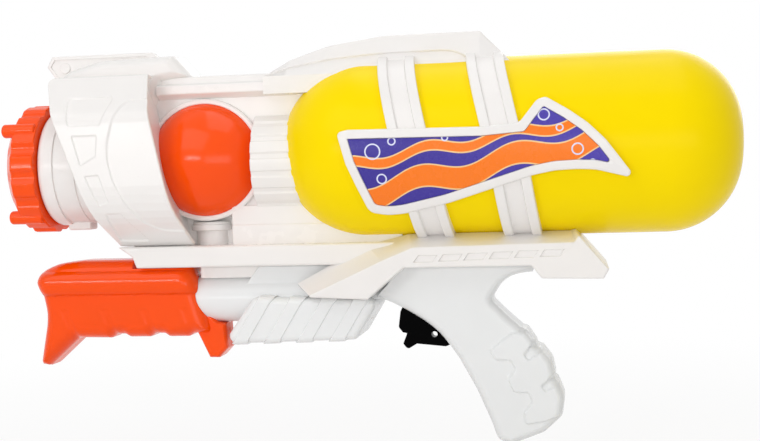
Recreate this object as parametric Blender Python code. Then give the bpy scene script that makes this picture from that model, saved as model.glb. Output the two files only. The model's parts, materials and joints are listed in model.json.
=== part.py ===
"""Pump-action toy water squirter, as an assembly of separate pieces.

Metres, +Z up. The muzzle points to -X and the left side faces -Y. The origin is the middle of the hand
grip. Solids of a half moulding are written with a depth d, counted outwards from the parting plane Y = 0,
so one function serves the left half (side -1) and the right half (side 1).
"""
import math

import bmesh
import bpy
from mathutils import Matrix, Vector

# Fits
FIT = 0.0003
PARTING = 0.00015
TANK_FIT = 0.0005
STRAP_FIT = 0.0008
LEFT, RIGHT = -1, 1
OVER = 0.004
HALF_SPACE = 0.2
ARC_STEP = math.radians(32)
TANK_SEGMENTS = 40
BALL_SEGMENTS = 24
PUMP_SEGMENTS = 24
BALL_ROOM_SEGMENTS = 20
HOSE_SIDES = 6
ROUTE_BEND = math.radians(3)

# Water tank
CRADLE_Z = 0.0696
TANK_R = 0.0534
TANK_WALL = 0.0022
TANK_NOSE_X = -0.1287
TANK_NOSE_LENGTH = 0.0549
TANK_TAIL_X = 0.1422
TANK_TAIL_RADIUS = 0.044
TANK_Z = CRADLE_Z + TANK_R
TANK_TOP = TANK_Z + TANK_R
TANK_PORT_X = -0.086
TANK_PORT_LENGTH = 0.0062
TANK_PORT_ROOT = 0.002

# Filler on the right side of the tank
FILLER_X = 0.088
FILLER_NECK_R = 0.0125
FILLER_BORE_R = 0.0095
FILLER_NECK_LENGTH = 0.009
FILLER_CAP_WALL = 0.0028
FILLER_CAP_CHAMFER = 0.0015
FILLER_CAP_RIBS = 18
FILLER_RIB_HEIGHT = 0.0008
GASKET_THICKNESS = 0.0016
FILLER_CAP_LIFT = 0.0012

# Nozzle line
BORE_Z = 0.1178
DIAL_R = 0.040
DIAL_FRONT_X = -0.2975
DIAL_BACK_X = -0.2773
DIAL_FACE_R = 0.031
DIAL_WEB = 0.008
DIAL_NUBS = 4
DIAL_NUB_R = 0.0042
DIAL_NUB_REACH = 0.0051
DIAL_NUB_ANGLE = math.radians(38)
DIAL_TOOTH_DEPTH = 0.0022
DIAL_SCALLOP_R = 0.006
DIAL_SCALLOP_LEAN = math.radians(24)
DIAL_CONE = 0.006
DIAL_SCREW_SINK = 0.0015
DIAL_SCREW_END_X = -0.266
NOZZLE_CIRCLE_R = 0.0085
NOZZLE_BORES = (0.0008, 0.0012, 0.0015, 0.0019)
NOZZLE_BOSS_R = 0.0036
NOZZLE_BOSS_HEIGHT = 0.002
DIAL_SETBACK = 0.001
SEAL_THICKNESS = 0.0014
SEAL_HOLE_R = 0.0016
MANIFOLD_FLANGE_R = 0.024
MANIFOLD_STEM_R = 0.012
MANIFOLD_REAR_X = -0.2195
MANIFOLD_PORT_X = -0.2246
MANIFOLD_PORT_LENGTH = 0.006
MANIFOLD_BORE_R = 0.0014
COLLAR_R = 0.036
COLLAR_ROUND = 0.004
COLLAR_STEP_X = -0.2665
COLLAR_STEP = 0.0012
COLLAR_LUG_X = (-0.270, -0.255)
COLLAR_LUG_DROP = 0.003
COLLAR_LUG_HALF_WIDTH = 0.006
COLLAR_REAR_X = -0.230

# Pressure sphere and its neck
BALL_X = -0.179
BALL_Z = BORE_Z + 0.0022
BALL_R = 0.0375
BALL_WALL = 0.0022
BALL_PORT_R = 0.005
BALL_RISER_R = 0.002
LIP_WIDTH = 0.0028
LIP_DEPTH = 0.0155
LIP_CHAMFER = 0.001
BALL_FLANGE_R = 0.014
BALL_FLANGE_HEIGHT = 0.0055
BALL_NECK_R = 0.0112

# Front drum and its shroud
SHROUD_WALL = 0.0025
SHROUD_HALF_WIDTH = 0.050
SHROUD_TOP_RISE = 0.0545
SHROUD_FRONT = ((-0.2692, BORE_Z + 0.0545), (-0.2310, BORE_Z - 0.0501))
SHROUD_REAR = ((-0.2055, BORE_Z + 0.0545), (-0.1841, BORE_Z - 0.0501))
SHROUD_RELIEF = 0.0008
DRUM_FRONT_INSET = 0.007
DRUM_REAR_INSET = 0.005
DRUM_FOOT_INSET = 0.002
HOOD_HALF_WIDTH = 0.020
HOOD_EDGE = 0.005

# Keel rail, web and top rail
RAIL_BOTTOM_Z = 0.055
RAIL_TOP_Z = 0.068
RAIL_BURIED_Z = RAIL_TOP_Z - 0.002
RAIL_HALF_WIDTH = 0.024
RAIL_EDGE = 0.0015
KEEL_HALF_WIDTH = 0.010
KEEL_X = (-0.182, -0.145)
KEEL_CLEARANCE = 0.001
LEDGE_HALF_WIDTH = 0.017
LEDGE_TOP_Z = RAIL_TOP_Z + 0.0135
LEDGE_CHAMFER = 0.002
LEDGE_X = (BALL_X + BALL_FLANGE_R + 0.002, -0.070)
TOP_RAIL_HALF_WIDTH = 0.019
TOP_RAIL_CAP_HALF_WIDTH = 0.016
TOP_RAIL_Z = TANK_TOP - 0.0054
TOP_RAIL_X = (-0.205, -0.118)
WEB_HALF_WIDTH = 0.012
WEB_X = (-0.212, -0.100)
WEB_FLOOR_Z = BALL_Z - 0.9 * BALL_R
WEB_TOP_Z = TOP_RAIL_Z - 0.006
THIN_WEB_HALF_WIDTH = 0.005
THIN_WEB_X = (-0.205, -0.100)
THIN_WEB_TOP_Z = WEB_FLOOR_Z + 0.003
NECK_R = 0.0315
NECK_X = (-0.147, -0.090)
NECK_FLUTES = 9
NECK_FLUTE_DEPTH = 0.0011
HOSE_DUCT_HALF_WIDTH = 0.0108
HOSE_DUCT_FLOOR_Z = 0.0592
HOSE_DUCT_ROOF_Z = 0.0668

# Cradle over the tank
STRAP_HEIGHT = 0.0042
STRAP_FLOOR = 0.0022
STRAP_WIDTH = 0.0218
STRAP_RAIL = 0.0055
STRAP_FOOT = 0.0026
BADGE_HEIGHT = 0.0060
BADGE_RIM = 0.0052
BADGE_RECESS = 0.0014
LABEL_THICKNESS = 0.0004
BEAM_HALF_WIDTH = 0.0225
SKIRT_HALF_WIDTH = 0.034
SKIRT_EDGE = 0.0008
SKIRT_SLOTS = 6
SKIRT_SLOT_PITCH = 0.0146
SKIRT_SLOT_WIDTH = 0.0115
SKIRT_SLOT_HEIGHT = 0.0042
SKIRT_SLOT_LEAN = 0.7 * SKIRT_SLOT_HEIGHT
SKIRT_SLOT_DEPTH = 0.0012
SKIRT_SLOT_RISE = 0.0004

# Pump
PUMP_Z = 0.034
PUMP_R = 0.0145
PUMP_BORE_R = 0.0122
PUMP_FRONT_X = -0.272
PUMP_REAR_X = -0.102
PUMP_CHAMFER = 0.001
END_CAP_LENGTH = 0.008
ROD_R = 0.004
ROD_FLANGE_R = 0.0075
ROD_FLANGE_LENGTH = 0.004
ROD_FRONT_X = -0.2805
HANDLE_STOP_GAP = 0.0012
VALVE_PLUG_LENGTH = 0.005
PISTON_LENGTH = 0.011
PISTON_GAP = 0.004
PISTON_FRONT_X = PUMP_REAR_X - VALVE_PLUG_LENGTH - PISTON_GAP - PISTON_LENGTH
O_RING_WIDTH = 0.0026
O_RING_DEPTH = 0.0022
O_RING_CHAMFER = 0.0004
VALVE_REAR_X = -0.078
OUTLET_X = -0.096
SPIGOT_R = 0.0016
SPIGOT_BORE_R = 0.0009
SPIGOT_TOP_Z = 0.0555
FLAP_R = 0.0027
FLAP_THICKNESS = 0.0008
FLAP_SEAT = 0.002
BLOCK_HALF_WIDTH = 0.0235
BLOCK_EDGE = 0.004
BLOCK_RIBS = 4
BLOCK_RIB_HEIGHT = 0.0010
BLOCK_RIB_EDGE = 0.002
CORE_HALF_WIDTH = 0.0172
CORE_EDGE = 0.004
HANDLE_HALF_WIDTH = 0.021
HANDLE_SIDE_WIDTH = 0.0172

# Grip, trigger and trigger valve
GRIP_HALF_WIDTH = 0.0168
GRIP_EDGE = 0.004
GRIP_PAD_HEIGHT = 0.0009
GRIP_PAD_EDGE = 0.0018
TRIGGER_HALF_WIDTH = 0.004
TRIGGER_PIVOT = (-0.042, 0.042)
TRIGGER_PIN_R = 0.0016
TRIGGER_PIN_HALF_LENGTH = 0.011
TRIGGER_HOLE = (-0.040, 0.0105)
TRIGGER_HOLE_R = 0.0018
VALVE_Z = 0.028
VALVE_R = 0.0064
VALVE_FRONT_X = -0.0205
VALVE_BACK_X = -0.0062
VALVE_BORE_R = 0.0024
PLUNGER_TIP_X = -0.0314
PLUNGER_HEAD_R = 0.0036
PLUNGER_HEAD_LENGTH = 0.002
PLUNGER_LENGTH = 0.017
PLUNGER_LAND = 0.003
PLUNGER_STEM_R = 0.0015
SPRING_TURNS = 5
SPRING_WIRE_R = 0.0004
SPRING_R = 0.0029
VALVE_INLET_X = -0.0096
VALVE_OUTLET_X = -0.0160
VALVE_SPIGOT_LENGTH = 0.0036

# Hoses
HOSE_R = 0.0026
HOSE_BORE_R = 0.0021
LANE = 0.0070
LANE_Z = 0.0630
HOSE_DROP_X = -0.030
NECK_BLOCK_X = (-0.188, -0.170)
NECK_BLOCK_Y = (-0.0036, 0.0100)
NECK_BLOCK_RISE = 0.001
NECK_PORT_LENGTH = 0.005
NECK_LINK_R = 0.0012
CHARGE_ROUTE = [(OUTLET_X, 0, 0.0545), (OUTLET_X - 0.0002, 0, 0.0565), (OUTLET_X - 0.0030, 0, 0.0612),
                (OUTLET_X - 0.0115, 0, LANE_Z), (-0.1350, 0, LANE_Z)]
FEED_ROUTE = [(-0.1350, LANE, LANE_Z), (-0.0800, LANE, LANE_Z), (-0.0260, LANE, LANE_Z),
              (VALVE_INLET_X - 0.0060, 0.0060, 0.0585), (VALVE_INLET_X - 0.0008, 0.0025, 0.0490),
              (VALVE_INLET_X, 0.0002, 0.0412), (VALVE_INLET_X, 0, 0.0390)]
NOZZLE_ROUTE = [(VALVE_OUTLET_X, 0, 0.0390), (VALVE_OUTLET_X, -0.0002, 0.0412),
                (VALVE_OUTLET_X - 0.0015, -0.0025, 0.0490), (VALVE_OUTLET_X - 0.0080, -0.0060, 0.0585),
                (-0.0370, -LANE, LANE_Z), (-0.1000, -LANE, LANE_Z),
                (-0.1600, -LANE, LANE_Z), (-0.2020, -LANE, LANE_Z), (-0.2170, -0.0050, 0.0680),
                (-0.2235, -0.0015, 0.0790), (MANIFOLD_PORT_X, 0, 0.0920)]

# Screws
SCREW_R = 0.0014
SCREW_HEAD_R = 0.0028
SCREW_HEAD_LENGTH = 0.002
SCREW_REACH = 0.008
SCREW_SEAT = 0.006
WELL_DEPTH = 0.060
WELL_R = 0.0034
HOUSING_SCREWS = ((-0.2215, BORE_Z + 0.040), (-0.160, TOP_RAIL_Z - 0.0072), (-0.035, TANK_TOP + 0.0072),
                  (-0.137, 0.0745), (-0.205, 0.0775), (0.046, 0.0575))
FRAME_SCREWS = ((-0.148, PUMP_Z - 0.0195), (-0.093, PUMP_Z - 0.0195), (0.0040, -0.0040), (0.0100, -0.0420))
HANDLE_SCREWS = ((-0.2790, PUMP_Z - 0.0300), (-0.1757, PUMP_Z - 0.0255))

# Outlines as (x, z) or (x, z, corner radius)
HOOD = [(-0.2700, 0.0300), (-0.2740, 0.0500, 0.004), (-0.2620, 0.0600, 0.012), (-0.2420, 0.0655, 0.020),
        (-0.1950, 0.0667, 0.002), (-0.1826, 0.0525), (-0.2010, 0.0500), (-0.2080, 0.0300)]
FIN = [(-0.2773, 0.0703), (-0.2808, 0.0639), (-0.2745, 0.0551), (-0.2700, 0.0450), (-0.2000, 0.0450),
       (-0.2085, 0.0674), (-0.2119, 0.0703)]
FIN_PANEL = [(-0.2758, 0.0682), (-0.2784, 0.0639), (-0.2715, 0.0540), (-0.2715, 0.0470), (-0.2120, 0.0470),
             (-0.2120, 0.0650), (-0.2150, 0.0682)]
FIN_HALF_WIDTH = 0.004
FIN_PANEL_DEPTH = 0.0009
FIN_BOSS = (-0.2690, 0.0628)
FIN_BOSS_R = 0.0033
RAIL = [(-0.2310, RAIL_TOP_Z), (-0.2224, RAIL_BOTTOM_Z + 0.0069), (-0.2198, RAIL_BOTTOM_Z),
        (-0.0600, RAIL_BOTTOM_Z), (-0.0600, RAIL_TOP_Z)]
BEAM_TOP = [(-0.1371, -0.0058), (-0.1225, 0.0023), (-0.0981, 0.0100), (-0.0650, 0.0145), (-0.0074, 0.0149),
            (0.0135, -0.0071)]
BEAM_BASE = -0.0075
BEAM_BURIED = -0.018
BEAM_LEVELS = ((-OVER, 1.0), (0.012, 1.0), (0.0175, 0.60), (0.0195, 0.55), (BEAM_HALF_WIDTH, 0.0))
SKIRT = [(-0.1134, 0.0369), (-0.0757, 0.0349), (-0.0539, 0.0532), (0.0203, 0.0531), (0.0261, 0.0457),
         (0.0611, 0.0450), (0.0643, 0.0506), (0.0476, 0.0705), (0.0449, 0.0666), (-0.0483, 0.0654),
         (-0.0673, 0.0578)]
SKIRT_CROWN = {0: (-0.1220, 0.0430), 7: (0.0455, 0.0735), 8: (0.0430, 0.0722), 9: (-0.0520, 0.0722),
               10: (-0.0780, 0.0660)}
SKIRT_CROWN_HALF_WIDTH = 0.020
SKIRT_SLOT_START = (-0.0480, 0.0562)
BADGE = [(-0.0865, 0.0095, 0.003), (-0.0800, 0.0108), (-0.0050, 0.0100), (0.0165, 0.0115, 0.004),
         (0.0262, 0.0240, 0.002), (0.0310, 0.0257, 0.003), (0.0438, 0.0177), (0.0539, 0.0102),
         (0.0633, 0.0008), (0.0796, -0.0214, 0.0022), (0.0576, -0.0156),
         (0.0474, -0.0151), (0.0354, -0.0155), (0.0233, -0.0177), (-0.0250, -0.0323), (-0.0510, -0.0378),
         (-0.0605, -0.0383), (-0.0705, -0.0365, 0.006), (-0.0764, -0.0217), (-0.0817, -0.0086)]
UPPER_STRAPS = ((-0.0573, TANK_R, -0.0455, 0.0050), (-0.0053, TANK_R, 0.0065, 0.0050))
LOWER_STRAPS = ((-0.0385, -0.0300, -0.0340, -TANK_R - STRAP_FOOT),
                (0.0100, -0.0100, 0.0166, -TANK_R - STRAP_FOOT))
SHROUD_TOP_Z = BORE_Z + SHROUD_TOP_RISE
SHROUD_SECTION = [(0.48 * SHROUD_HALF_WIDTH, SHROUD_TOP_Z), (0.62 * SHROUD_HALF_WIDTH, SHROUD_TOP_Z, 0.003),
                  (SHROUD_HALF_WIDTH, BORE_Z + 0.030, 0.014), (SHROUD_HALF_WIDTH, BORE_Z - 0.027, 0.028),
                  (0.36 * SHROUD_HALF_WIDTH, RAIL_TOP_Z + FIT)]
TOP_RAIL_SECTION = [(-OVER, TOP_RAIL_Z - 0.0172), (WEB_HALF_WIDTH, TOP_RAIL_Z - 0.0172),
                    (WEB_HALF_WIDTH, TOP_RAIL_Z - 0.0142), (TOP_RAIL_HALF_WIDTH, TOP_RAIL_Z - 0.0107),
                    (TOP_RAIL_HALF_WIDTH, TOP_RAIL_Z - 0.0055),
                    (TOP_RAIL_CAP_HALF_WIDTH, TOP_RAIL_Z - 0.0042), (TOP_RAIL_CAP_HALF_WIDTH, TOP_RAIL_Z),
                    (-OVER, TOP_RAIL_Z)]
LEDGE_SECTION = [(-OVER, RAIL_BURIED_Z), (LEDGE_HALF_WIDTH, RAIL_BURIED_Z),
                 (LEDGE_HALF_WIDTH, LEDGE_TOP_Z - LEDGE_CHAMFER),
                 (LEDGE_HALF_WIDTH - LEDGE_CHAMFER, LEDGE_TOP_Z), (-OVER, LEDGE_TOP_Z)]
SHROUD_WINDOWS = ([(-0.2521, 0.0412), (-0.2227, 0.0416), (-0.2298, 0.0236), (-0.2500, 0.0238)],
                  [(-0.2479, 0.0184), (-0.2316, 0.0184), (-0.2327, 0.0055), (-0.2429, -0.0001)],
                  [(-0.2406, -0.0055), (-0.2313, -0.0052), (-0.2262, -0.0215), (-0.2330, -0.0240)])
SHROUD_PANEL = [(-0.1700, 0.0388), (-0.2019, 0.0378, 0.010), (-0.2235, 0.0280, 0.014),
                (-0.2275, 0.0050, 0.030), (-0.2160, -0.0210, 0.020), (-0.1990, -0.0400, 0.012),
                (-0.1700, -0.0420)]
BLOCK = [(-0.1475, 0.0024, 0.004), (-0.1641, -0.0212, 0.003), (-0.1609, -0.0258, 0.002),
         (-0.0850, -0.0241, 0.003), (-0.0703, -0.0004, 0.003)]
BLOCK_RIB = [(0.0000, 0.0018), (-0.0175, -0.0262), (-0.0090, -0.0262), (0.0085, 0.0018)]
BLOCK_RIB_X = -0.1435
BLOCK_RIB_PITCH = 0.0197
CORE_TOP_Z = RAIL_BOTTOM_Z - FIT
CORE = [(-0.1580, PUMP_Z + 0.0050), (-0.1460, CORE_TOP_Z), (-0.0640, CORE_TOP_Z),
        (-0.0640, PUMP_Z - 0.0020)]
GRIP = [(-0.0734, 0.0344), (-0.0640, 0.0306), (-0.0547, 0.0257), (-0.0455, 0.0200), (-0.0364, 0.0129),
        (-0.0256, -0.0015), (-0.0149, -0.0213), (-0.0062, -0.0418), (-0.0028, -0.0520, 0.004),
        (0.0053, -0.0548, 0.008), (0.0249, -0.0474, 0.008), (0.0350, -0.0381, 0.006),
        (0.0362, -0.0261, 0.006), (0.0290, -0.0060), (0.0170, 0.0110), (0.0047, 0.0227),
        (-0.0047, 0.0320, 0.003), (0.0015, 0.0417), (0.0071, 0.0457), (0.0136, 0.0474), (0.0205, 0.0480),
        (0.0205, 0.0566), (-0.0570, 0.0566), (-0.0660, 0.0420)]
GRIP_PAD = [(-0.0068, 0.0021, 0.002), (-0.0029, -0.0036, 0.002), (0.0057, -0.0040, 0.002),
            (0.0085, -0.0085, 0.002), (0.0037, -0.0147, 0.002), (0.0076, -0.0230, 0.002),
            (0.0158, -0.0230, 0.002), (0.0180, -0.0284, 0.002), (0.0125, -0.0349, 0.002),
            (0.0141, -0.0420, 0.002), (0.0253, -0.0402), (0.0358, -0.0368, 0.004),
            (0.0374, -0.0261, 0.004), (0.0329, -0.0175), (0.0262, -0.0216), (0.0242, -0.0196),
            (0.0318, -0.0125), (0.0302, -0.0040, 0.004), (0.0247, 0.0025), (0.0165, -0.0035),
            (0.0145, -0.0005), (0.0205, 0.0070), (0.0150, 0.0140, 0.004), (0.0060, 0.0120)]
TRIGGER = [(-0.0490, 0.0470, 0.005), (-0.0575, 0.0310), (-0.0606, 0.0245), (-0.0619, 0.0150, 0.002),
           (-0.0594, 0.0117, 0.001), (-0.0568, 0.0113), (-0.0594, 0.0049, 0.001), (-0.0567, 0.0014, 0.002),
           (-0.0510, 0.0048), (-0.0334, 0.0030, 0.001), (-0.0290, 0.0047), (-0.0275, 0.0080),
           (-0.0317, 0.0240), (-0.0317, 0.0320), (-0.0360, 0.0470, 0.005)]
TRIGGER_SLOT = [(-0.0800, 0.0490), (-0.0800, 0.0005), (-0.0320, 0.0005), (-0.0180, 0.0040),
                (-0.0180, 0.0215), (-0.0280, 0.0490)]
HANDLE = [(-0.2931, 0.0137, 0.004), (-0.2900, 0.0186), (-0.2824, 0.0229), (-0.2729, 0.0250),
          (-0.2260, 0.0264), (-0.2240, 0.0204), (-0.1866, 0.0204), (-0.1834, 0.0143), (-0.1778, -0.0140),
          (-0.1686, -0.0145), (-0.1652, -0.0303, 0.002), (-0.1707, -0.0361), (-0.1802, -0.0360),
          (-0.1874, -0.0209), (-0.1915, -0.0228), (-0.2052, -0.0228), (-0.2085, -0.0206),
          (-0.2130, -0.0206), (-0.2157, -0.0228), (-0.2294, -0.0228), (-0.2330, -0.0206),
          (-0.2375, -0.0206), (-0.2410, -0.0228), (-0.2549, -0.0228), (-0.2585, -0.0215),
          (-0.2799, -0.0408), (-0.2879, -0.0410), (-0.2906, -0.0387), (-0.2863, -0.0110),
          (-0.2863, -0.0030), (-0.2901, 0.0096)]
HANDLE_SECTION = [(-0.0040, 0.0270), (0.0120, 0.0262), (0.0188, 0.0200), (0.0210, 0.0115), (0.0186, 0.0030),
                  (0.0172, -0.0230), (0.0172, -0.0420), (-0.0040, -0.0420)]
HANDLE_PLAN = [(-0.2945, -OVER), (-0.2945, 0.0050, 0.004), (-0.2860, 0.0180, 0.014), (-0.2700, 0.0222),
               (-0.1760, 0.0222, 0.006), (-0.1640, 0.0150, 0.006), (-0.1640, -OVER)]
HANDLE_GROOVE = [(0.0000, 0.0010), (0.0060, 0.0010), (0.0180, -0.0240), (0.0120, -0.0240)]
HANDLE_GROOVE_X = (-0.2735, -0.2490, -0.2245, -0.2010)
HANDLE_GROOVE_DEPTH = 0.0010


def start_empty():
    """Remove whatever the scene holds."""
    for item in list(bpy.data.objects):
        bpy.data.objects.remove(item, do_unlink=True)


def material(name, colour, roughness, metallic=0.0):
    made = bpy.data.materials.new(name)
    made.use_nodes = True
    shader = made.node_tree.nodes["Principled BSDF"]
    shader.inputs["Base Color"].default_value = (*colour, 1.0)
    shader.inputs["Roughness"].default_value = roughness
    shader.inputs["Metallic"].default_value = metallic
    return made


def add_object(name, bm):
    """Turn a bmesh into an object with flat faces that point out."""
    bmesh.ops.recalc_face_normals(bm, faces=bm.faces)
    bent = [f for f in bm.faces if any(abs((v.co - f.verts[0].co).dot(f.normal)) > 1e-8 for v in f.verts)]
    bmesh.ops.triangulate(bm, faces=bent)
    mesh = bpy.data.meshes.new(name)
    bm.to_mesh(mesh)
    bm.free()
    made = bpy.data.objects.new(name, mesh)
    bpy.context.collection.objects.link(made)
    return made


def loft(name, rings, closed=False):
    """Skin a row of rings. A ring of one point is a pole. A closed row joins its last ring to its first."""
    bm = bmesh.new()
    loops = [[bm.verts.new(point) for point in ring] for ring in rings]
    pairs = list(zip(loops, loops[1:]))
    if closed:
        pairs.append((loops[-1], loops[0]))
    for lower, upper in pairs:
        count = max(len(lower), len(upper))
        for i in range(count):
            j = (i + 1) % count
            below = [lower[i % len(lower)], lower[j % len(lower)]]
            above = [upper[j % len(upper)], upper[i % len(upper)]]
            bm.faces.new(list(dict.fromkeys(below + above)))
    if not closed:
        for end in (loops[0], loops[-1]):
            if len(end) > 1:
                bm.faces.new(end)
    return add_object(name, bm)


def rounded(corners, closed=True):
    """Outline whose corners (x, z, radius) become arcs."""
    points = []
    last = len(corners) - 1
    for i, corner in enumerate(corners):
        here = Vector(corner[:2])
        radius = corner[2] if len(corner) > 2 else 0.0
        if radius == 0.0 or (not closed and i in (0, last)):
            points.append(tuple(here))
            continue
        back = Vector(corners[i - 1][:2]) - here
        ahead = Vector(corners[(i + 1) % len(corners)][:2]) - here
        half = back.angle(ahead) / 2
        cut = min(radius / math.tan(half), 0.45 * back.length, 0.45 * ahead.length)
        bisector = (back.normalized() + ahead.normalized()).normalized()
        centre = here + bisector * (cut / math.cos(half))
        first = here + back.normalized() * cut - centre
        final = here + ahead.normalized() * cut - centre
        start = math.atan2(first.y, first.x)
        sweep = (math.atan2(final.y, final.x) - start + math.pi) % (2 * math.pi) - math.pi
        steps = max(1, round(abs(sweep) / ARC_STEP))
        for k in range(steps + 1):
            angle = start + sweep * k / steps
            points.append(tuple(centre + first.length * Vector((math.cos(angle), math.sin(angle)))))
    return points


def offset(points, distance, closed=True):
    """Move an outline sideways: inwards when it is closed, to its right when it is open."""
    count = len(points)
    turn = 1.0
    if closed:
        area = sum(points[i - 1][0] * points[i][1] - points[i][0] * points[i - 1][1] for i in range(count))
        turn = -math.copysign(1.0, area)
    moved = []
    for i, point in enumerate(points):
        normals = []
        if closed or i > 0:
            normals.append(Vector(point) - Vector(points[i - 1]))
        if closed or i < count - 1:
            normals.append(Vector(points[(i + 1) % count]) - Vector(point))
        normals = [Vector((n.y, -n.x)).normalized() for n in normals]
        total = sum(normals, Vector((0, 0))).normalized()
        reach = turn * distance / max(0.3, total.dot(normals[0]))
        moved.append((point[0] + total.x * reach, point[1] + total.y * reach))
    return moved


def inset(corners, distance):
    """Move an outline's corners inwards and reduce their radii to suit."""
    spots = offset([corner[:2] for corner in corners], distance)
    radii = [[max(r - distance, 0.5 * r) for r in corner[2:]] for corner in corners]
    return [(*spot, *radius) for spot, radius in zip(spots, radii)]


def lifted(outline, dz, dx=0.0):
    """Shift an outline, keeping its corner radii."""
    return [(p[0] + dx, p[1] + dz, *p[2:]) for p in outline]


def plate(name, corners, side, inner, outer, edge=0.0, steps=2):
    """Flat plate parallel to the parting plane, with its outer edge rounded."""
    levels = [(inner, 0.0), (outer - edge, 0.0)]
    if edge:
        turns = [math.pi / 2 * k / steps for k in range(1, steps + 1)]
        levels += [(outer - edge + edge * math.sin(a), edge * (1 - math.cos(a))) for a in turns]
    rings = []
    for depth, shrink in levels:
        rings.append([(x, side * depth, z) for x, z in rounded(inset(corners, shrink))])
    return loft(name, rings)


def bar(name, section, side, front, rear):
    """Section (depth, z) drawn along X between two end lines, each ((x, z), (x, z))."""
    rings = []
    for (xa, za), (xb, zb) in (front, rear):
        slope = (xb - xa) / (zb - za)
        rings.append([(xa + slope * (z - za), side * d, z) for d, z in section])
    return loft(name, rings)


def square_end(x):
    return ((x, 0.0), (x, 1.0))


def rectangle(xs, low, high):
    return [(xs[0], low), (xs[1], low), (xs[1], high), (xs[0], high)]


def turned(name, profile, centre, axis, segments, closed=False):
    """Profile (along, radius) or (along, radius, rib height) turned about an axis through centre."""
    rings = []
    for along, radius, *rib in profile:
        count = segments if radius > 0.0 else 1
        ring = []
        for k in range(count):
            angle = 2 * math.pi * (k + 0.5) / segments
            reach = radius + (rib[0] if rib and k % 2 else 0.0)
            u, v = reach * math.cos(angle), reach * math.sin(angle)
            spot = {"X": (along, u, v), "Y": (u, along, v), "Z": (u, v, along)}[axis]
            ring.append(tuple(c + s for c, s in zip(centre, spot)))
        rings.append(ring)
    return loft(name, rings, closed)


def box(name, low, high):
    (x0, y0, z0), (x1, y1, z1) = low, high
    rings = [[(x0, y0, z), (x1, y0, z), (x1, y1, z), (x0, y1, z)] for z in (z0, z1)]
    return loft(name, rings)


def arc(centre, radius, start, end, steps):
    """Points (along, radius) on an arc, in degrees."""
    angles = [math.radians(start + (end - start) * k / steps) for k in range(steps + 1)]
    return [(centre[0] + radius * math.cos(a), centre[1] + radius * math.sin(a)) for a in angles]


def combine(target, tool, operation):
    """Boolean a tool into a target and remove the tool."""
    step = target.modifiers.new(tool.name, "BOOLEAN")
    step.object = tool
    step.operation = operation
    step.solver = "EXACT"
    view = bpy.context.evaluated_depsgraph_get()
    result = bpy.data.meshes.new_from_object(target.evaluated_get(view))
    target.modifiers.clear()
    target.data = result
    bpy.data.objects.remove(tool, do_unlink=True)
    return target


def join(target, *tools):
    for tool in tools:
        combine(target, tool, "UNION")
    return target


def cut(target, *tools):
    for tool in tools:
        combine(target, tool, "DIFFERENCE")
    return target


def common(target, tool):
    return combine(target, tool, "INTERSECT")


def keep_half(target, side):
    """Trim a half moulding back to the parting plane."""
    low, high = sorted((side * PARTING, side * HALF_SPACE))
    return common(target, box("half_space", (-2 * HALF_SPACE, low, -HALF_SPACE),
                              (2 * HALF_SPACE, high, 2 * HALF_SPACE)))


def finish(made, look, origin=None, smooth=32):
    """Set a piece's material, shading and origin."""
    mesh = made.data
    if origin is not None:
        mesh.transform(Matrix.Translation([-c for c in origin]))
        made.location = origin
    mesh.materials.clear()
    mesh.materials.append(look)
    mesh.shade_smooth()
    mesh.set_sharp_from_angle(angle=math.radians(smooth))
    return made


def smooth_route(points, spacing):
    """Points at even spacing along a smooth curve through a route's own points."""
    ends = [2 * Vector(points[0]) - Vector(points[1]), 2 * Vector(points[-1]) - Vector(points[-2])]
    knots = [ends[0], *map(Vector, points), ends[1]]
    fine = []
    for a, b, c, d in zip(knots, knots[1:], knots[2:], knots[3:]):
        for k in range(12):
            t = k / 12
            fine.append(0.5 * (2 * b + (c - a) * t + (2 * a - 5 * b + 4 * c - d) * t ** 2
                               + (3 * b - a - 3 * c + d) * t ** 3))
    fine.append(Vector(points[-1]))
    total = sum((q - p).length for p, q in zip(fine, fine[1:]))
    count = max(2, round(total / spacing))
    route, travelled, goal = [fine[0]], 0.0, 1
    for p, q in zip(fine, fine[1:]):
        travelled += (q - p).length
        if travelled >= total * goal / count - 1e-9 and goal < count:
            route.append(q)
            goal += 1
    route.append(fine[-1])
    bends = [(b - a).angle(c - b) for a, b, c in zip(route, route[1:], route[2:])]
    bends = [0.0, 0.0, *bends, 0.0, 0.0]
    middle = [route[i] for i in range(1, count) if max(bends[i:i + 3]) > ROUTE_BEND]
    return [route[0], *middle, route[-1]]


def swept_rings(route, radius, sides, turn=0.0):
    """Rings of a tube, each square to the route."""
    rings = []
    across = Vector((0, 1, 0))
    for i, point in enumerate(route):
        ahead = (route[min(i + 1, len(route) - 1)] - route[max(i - 1, 0)]).normalized()
        if abs(across.dot(ahead)) > 0.95:
            across = Vector((0, 0, 1))
        u = (across - ahead * across.dot(ahead)).normalized()
        v = ahead.cross(u)
        across = u
        angles = [turn + 2 * math.pi * k / sides for k in range(sides)]
        rings.append([point + (u * math.cos(a) + v * math.sin(a)) * radius for a in angles])
    return rings


def hose(name, points, look):
    """Hollow hose along a route."""
    route = smooth_route(points, 3 * HOSE_R)
    outside = swept_rings(route, HOSE_R, HOSE_SIDES)
    inside = swept_rings(route, HOSE_BORE_R, HOSE_SIDES)
    return finish(loft(name, outside + inside[::-1], closed=True), look, smooth=60)


def dome(radius_x, radius, steps):
    """Quarter ellipse from a nose point to a full radius, as (setback, radius)."""
    angles = [math.pi / 2 * k / steps for k in range(steps + 1)]
    return [(radius_x * (1 - math.cos(a)), radius * math.sin(a)) for a in angles]


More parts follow.
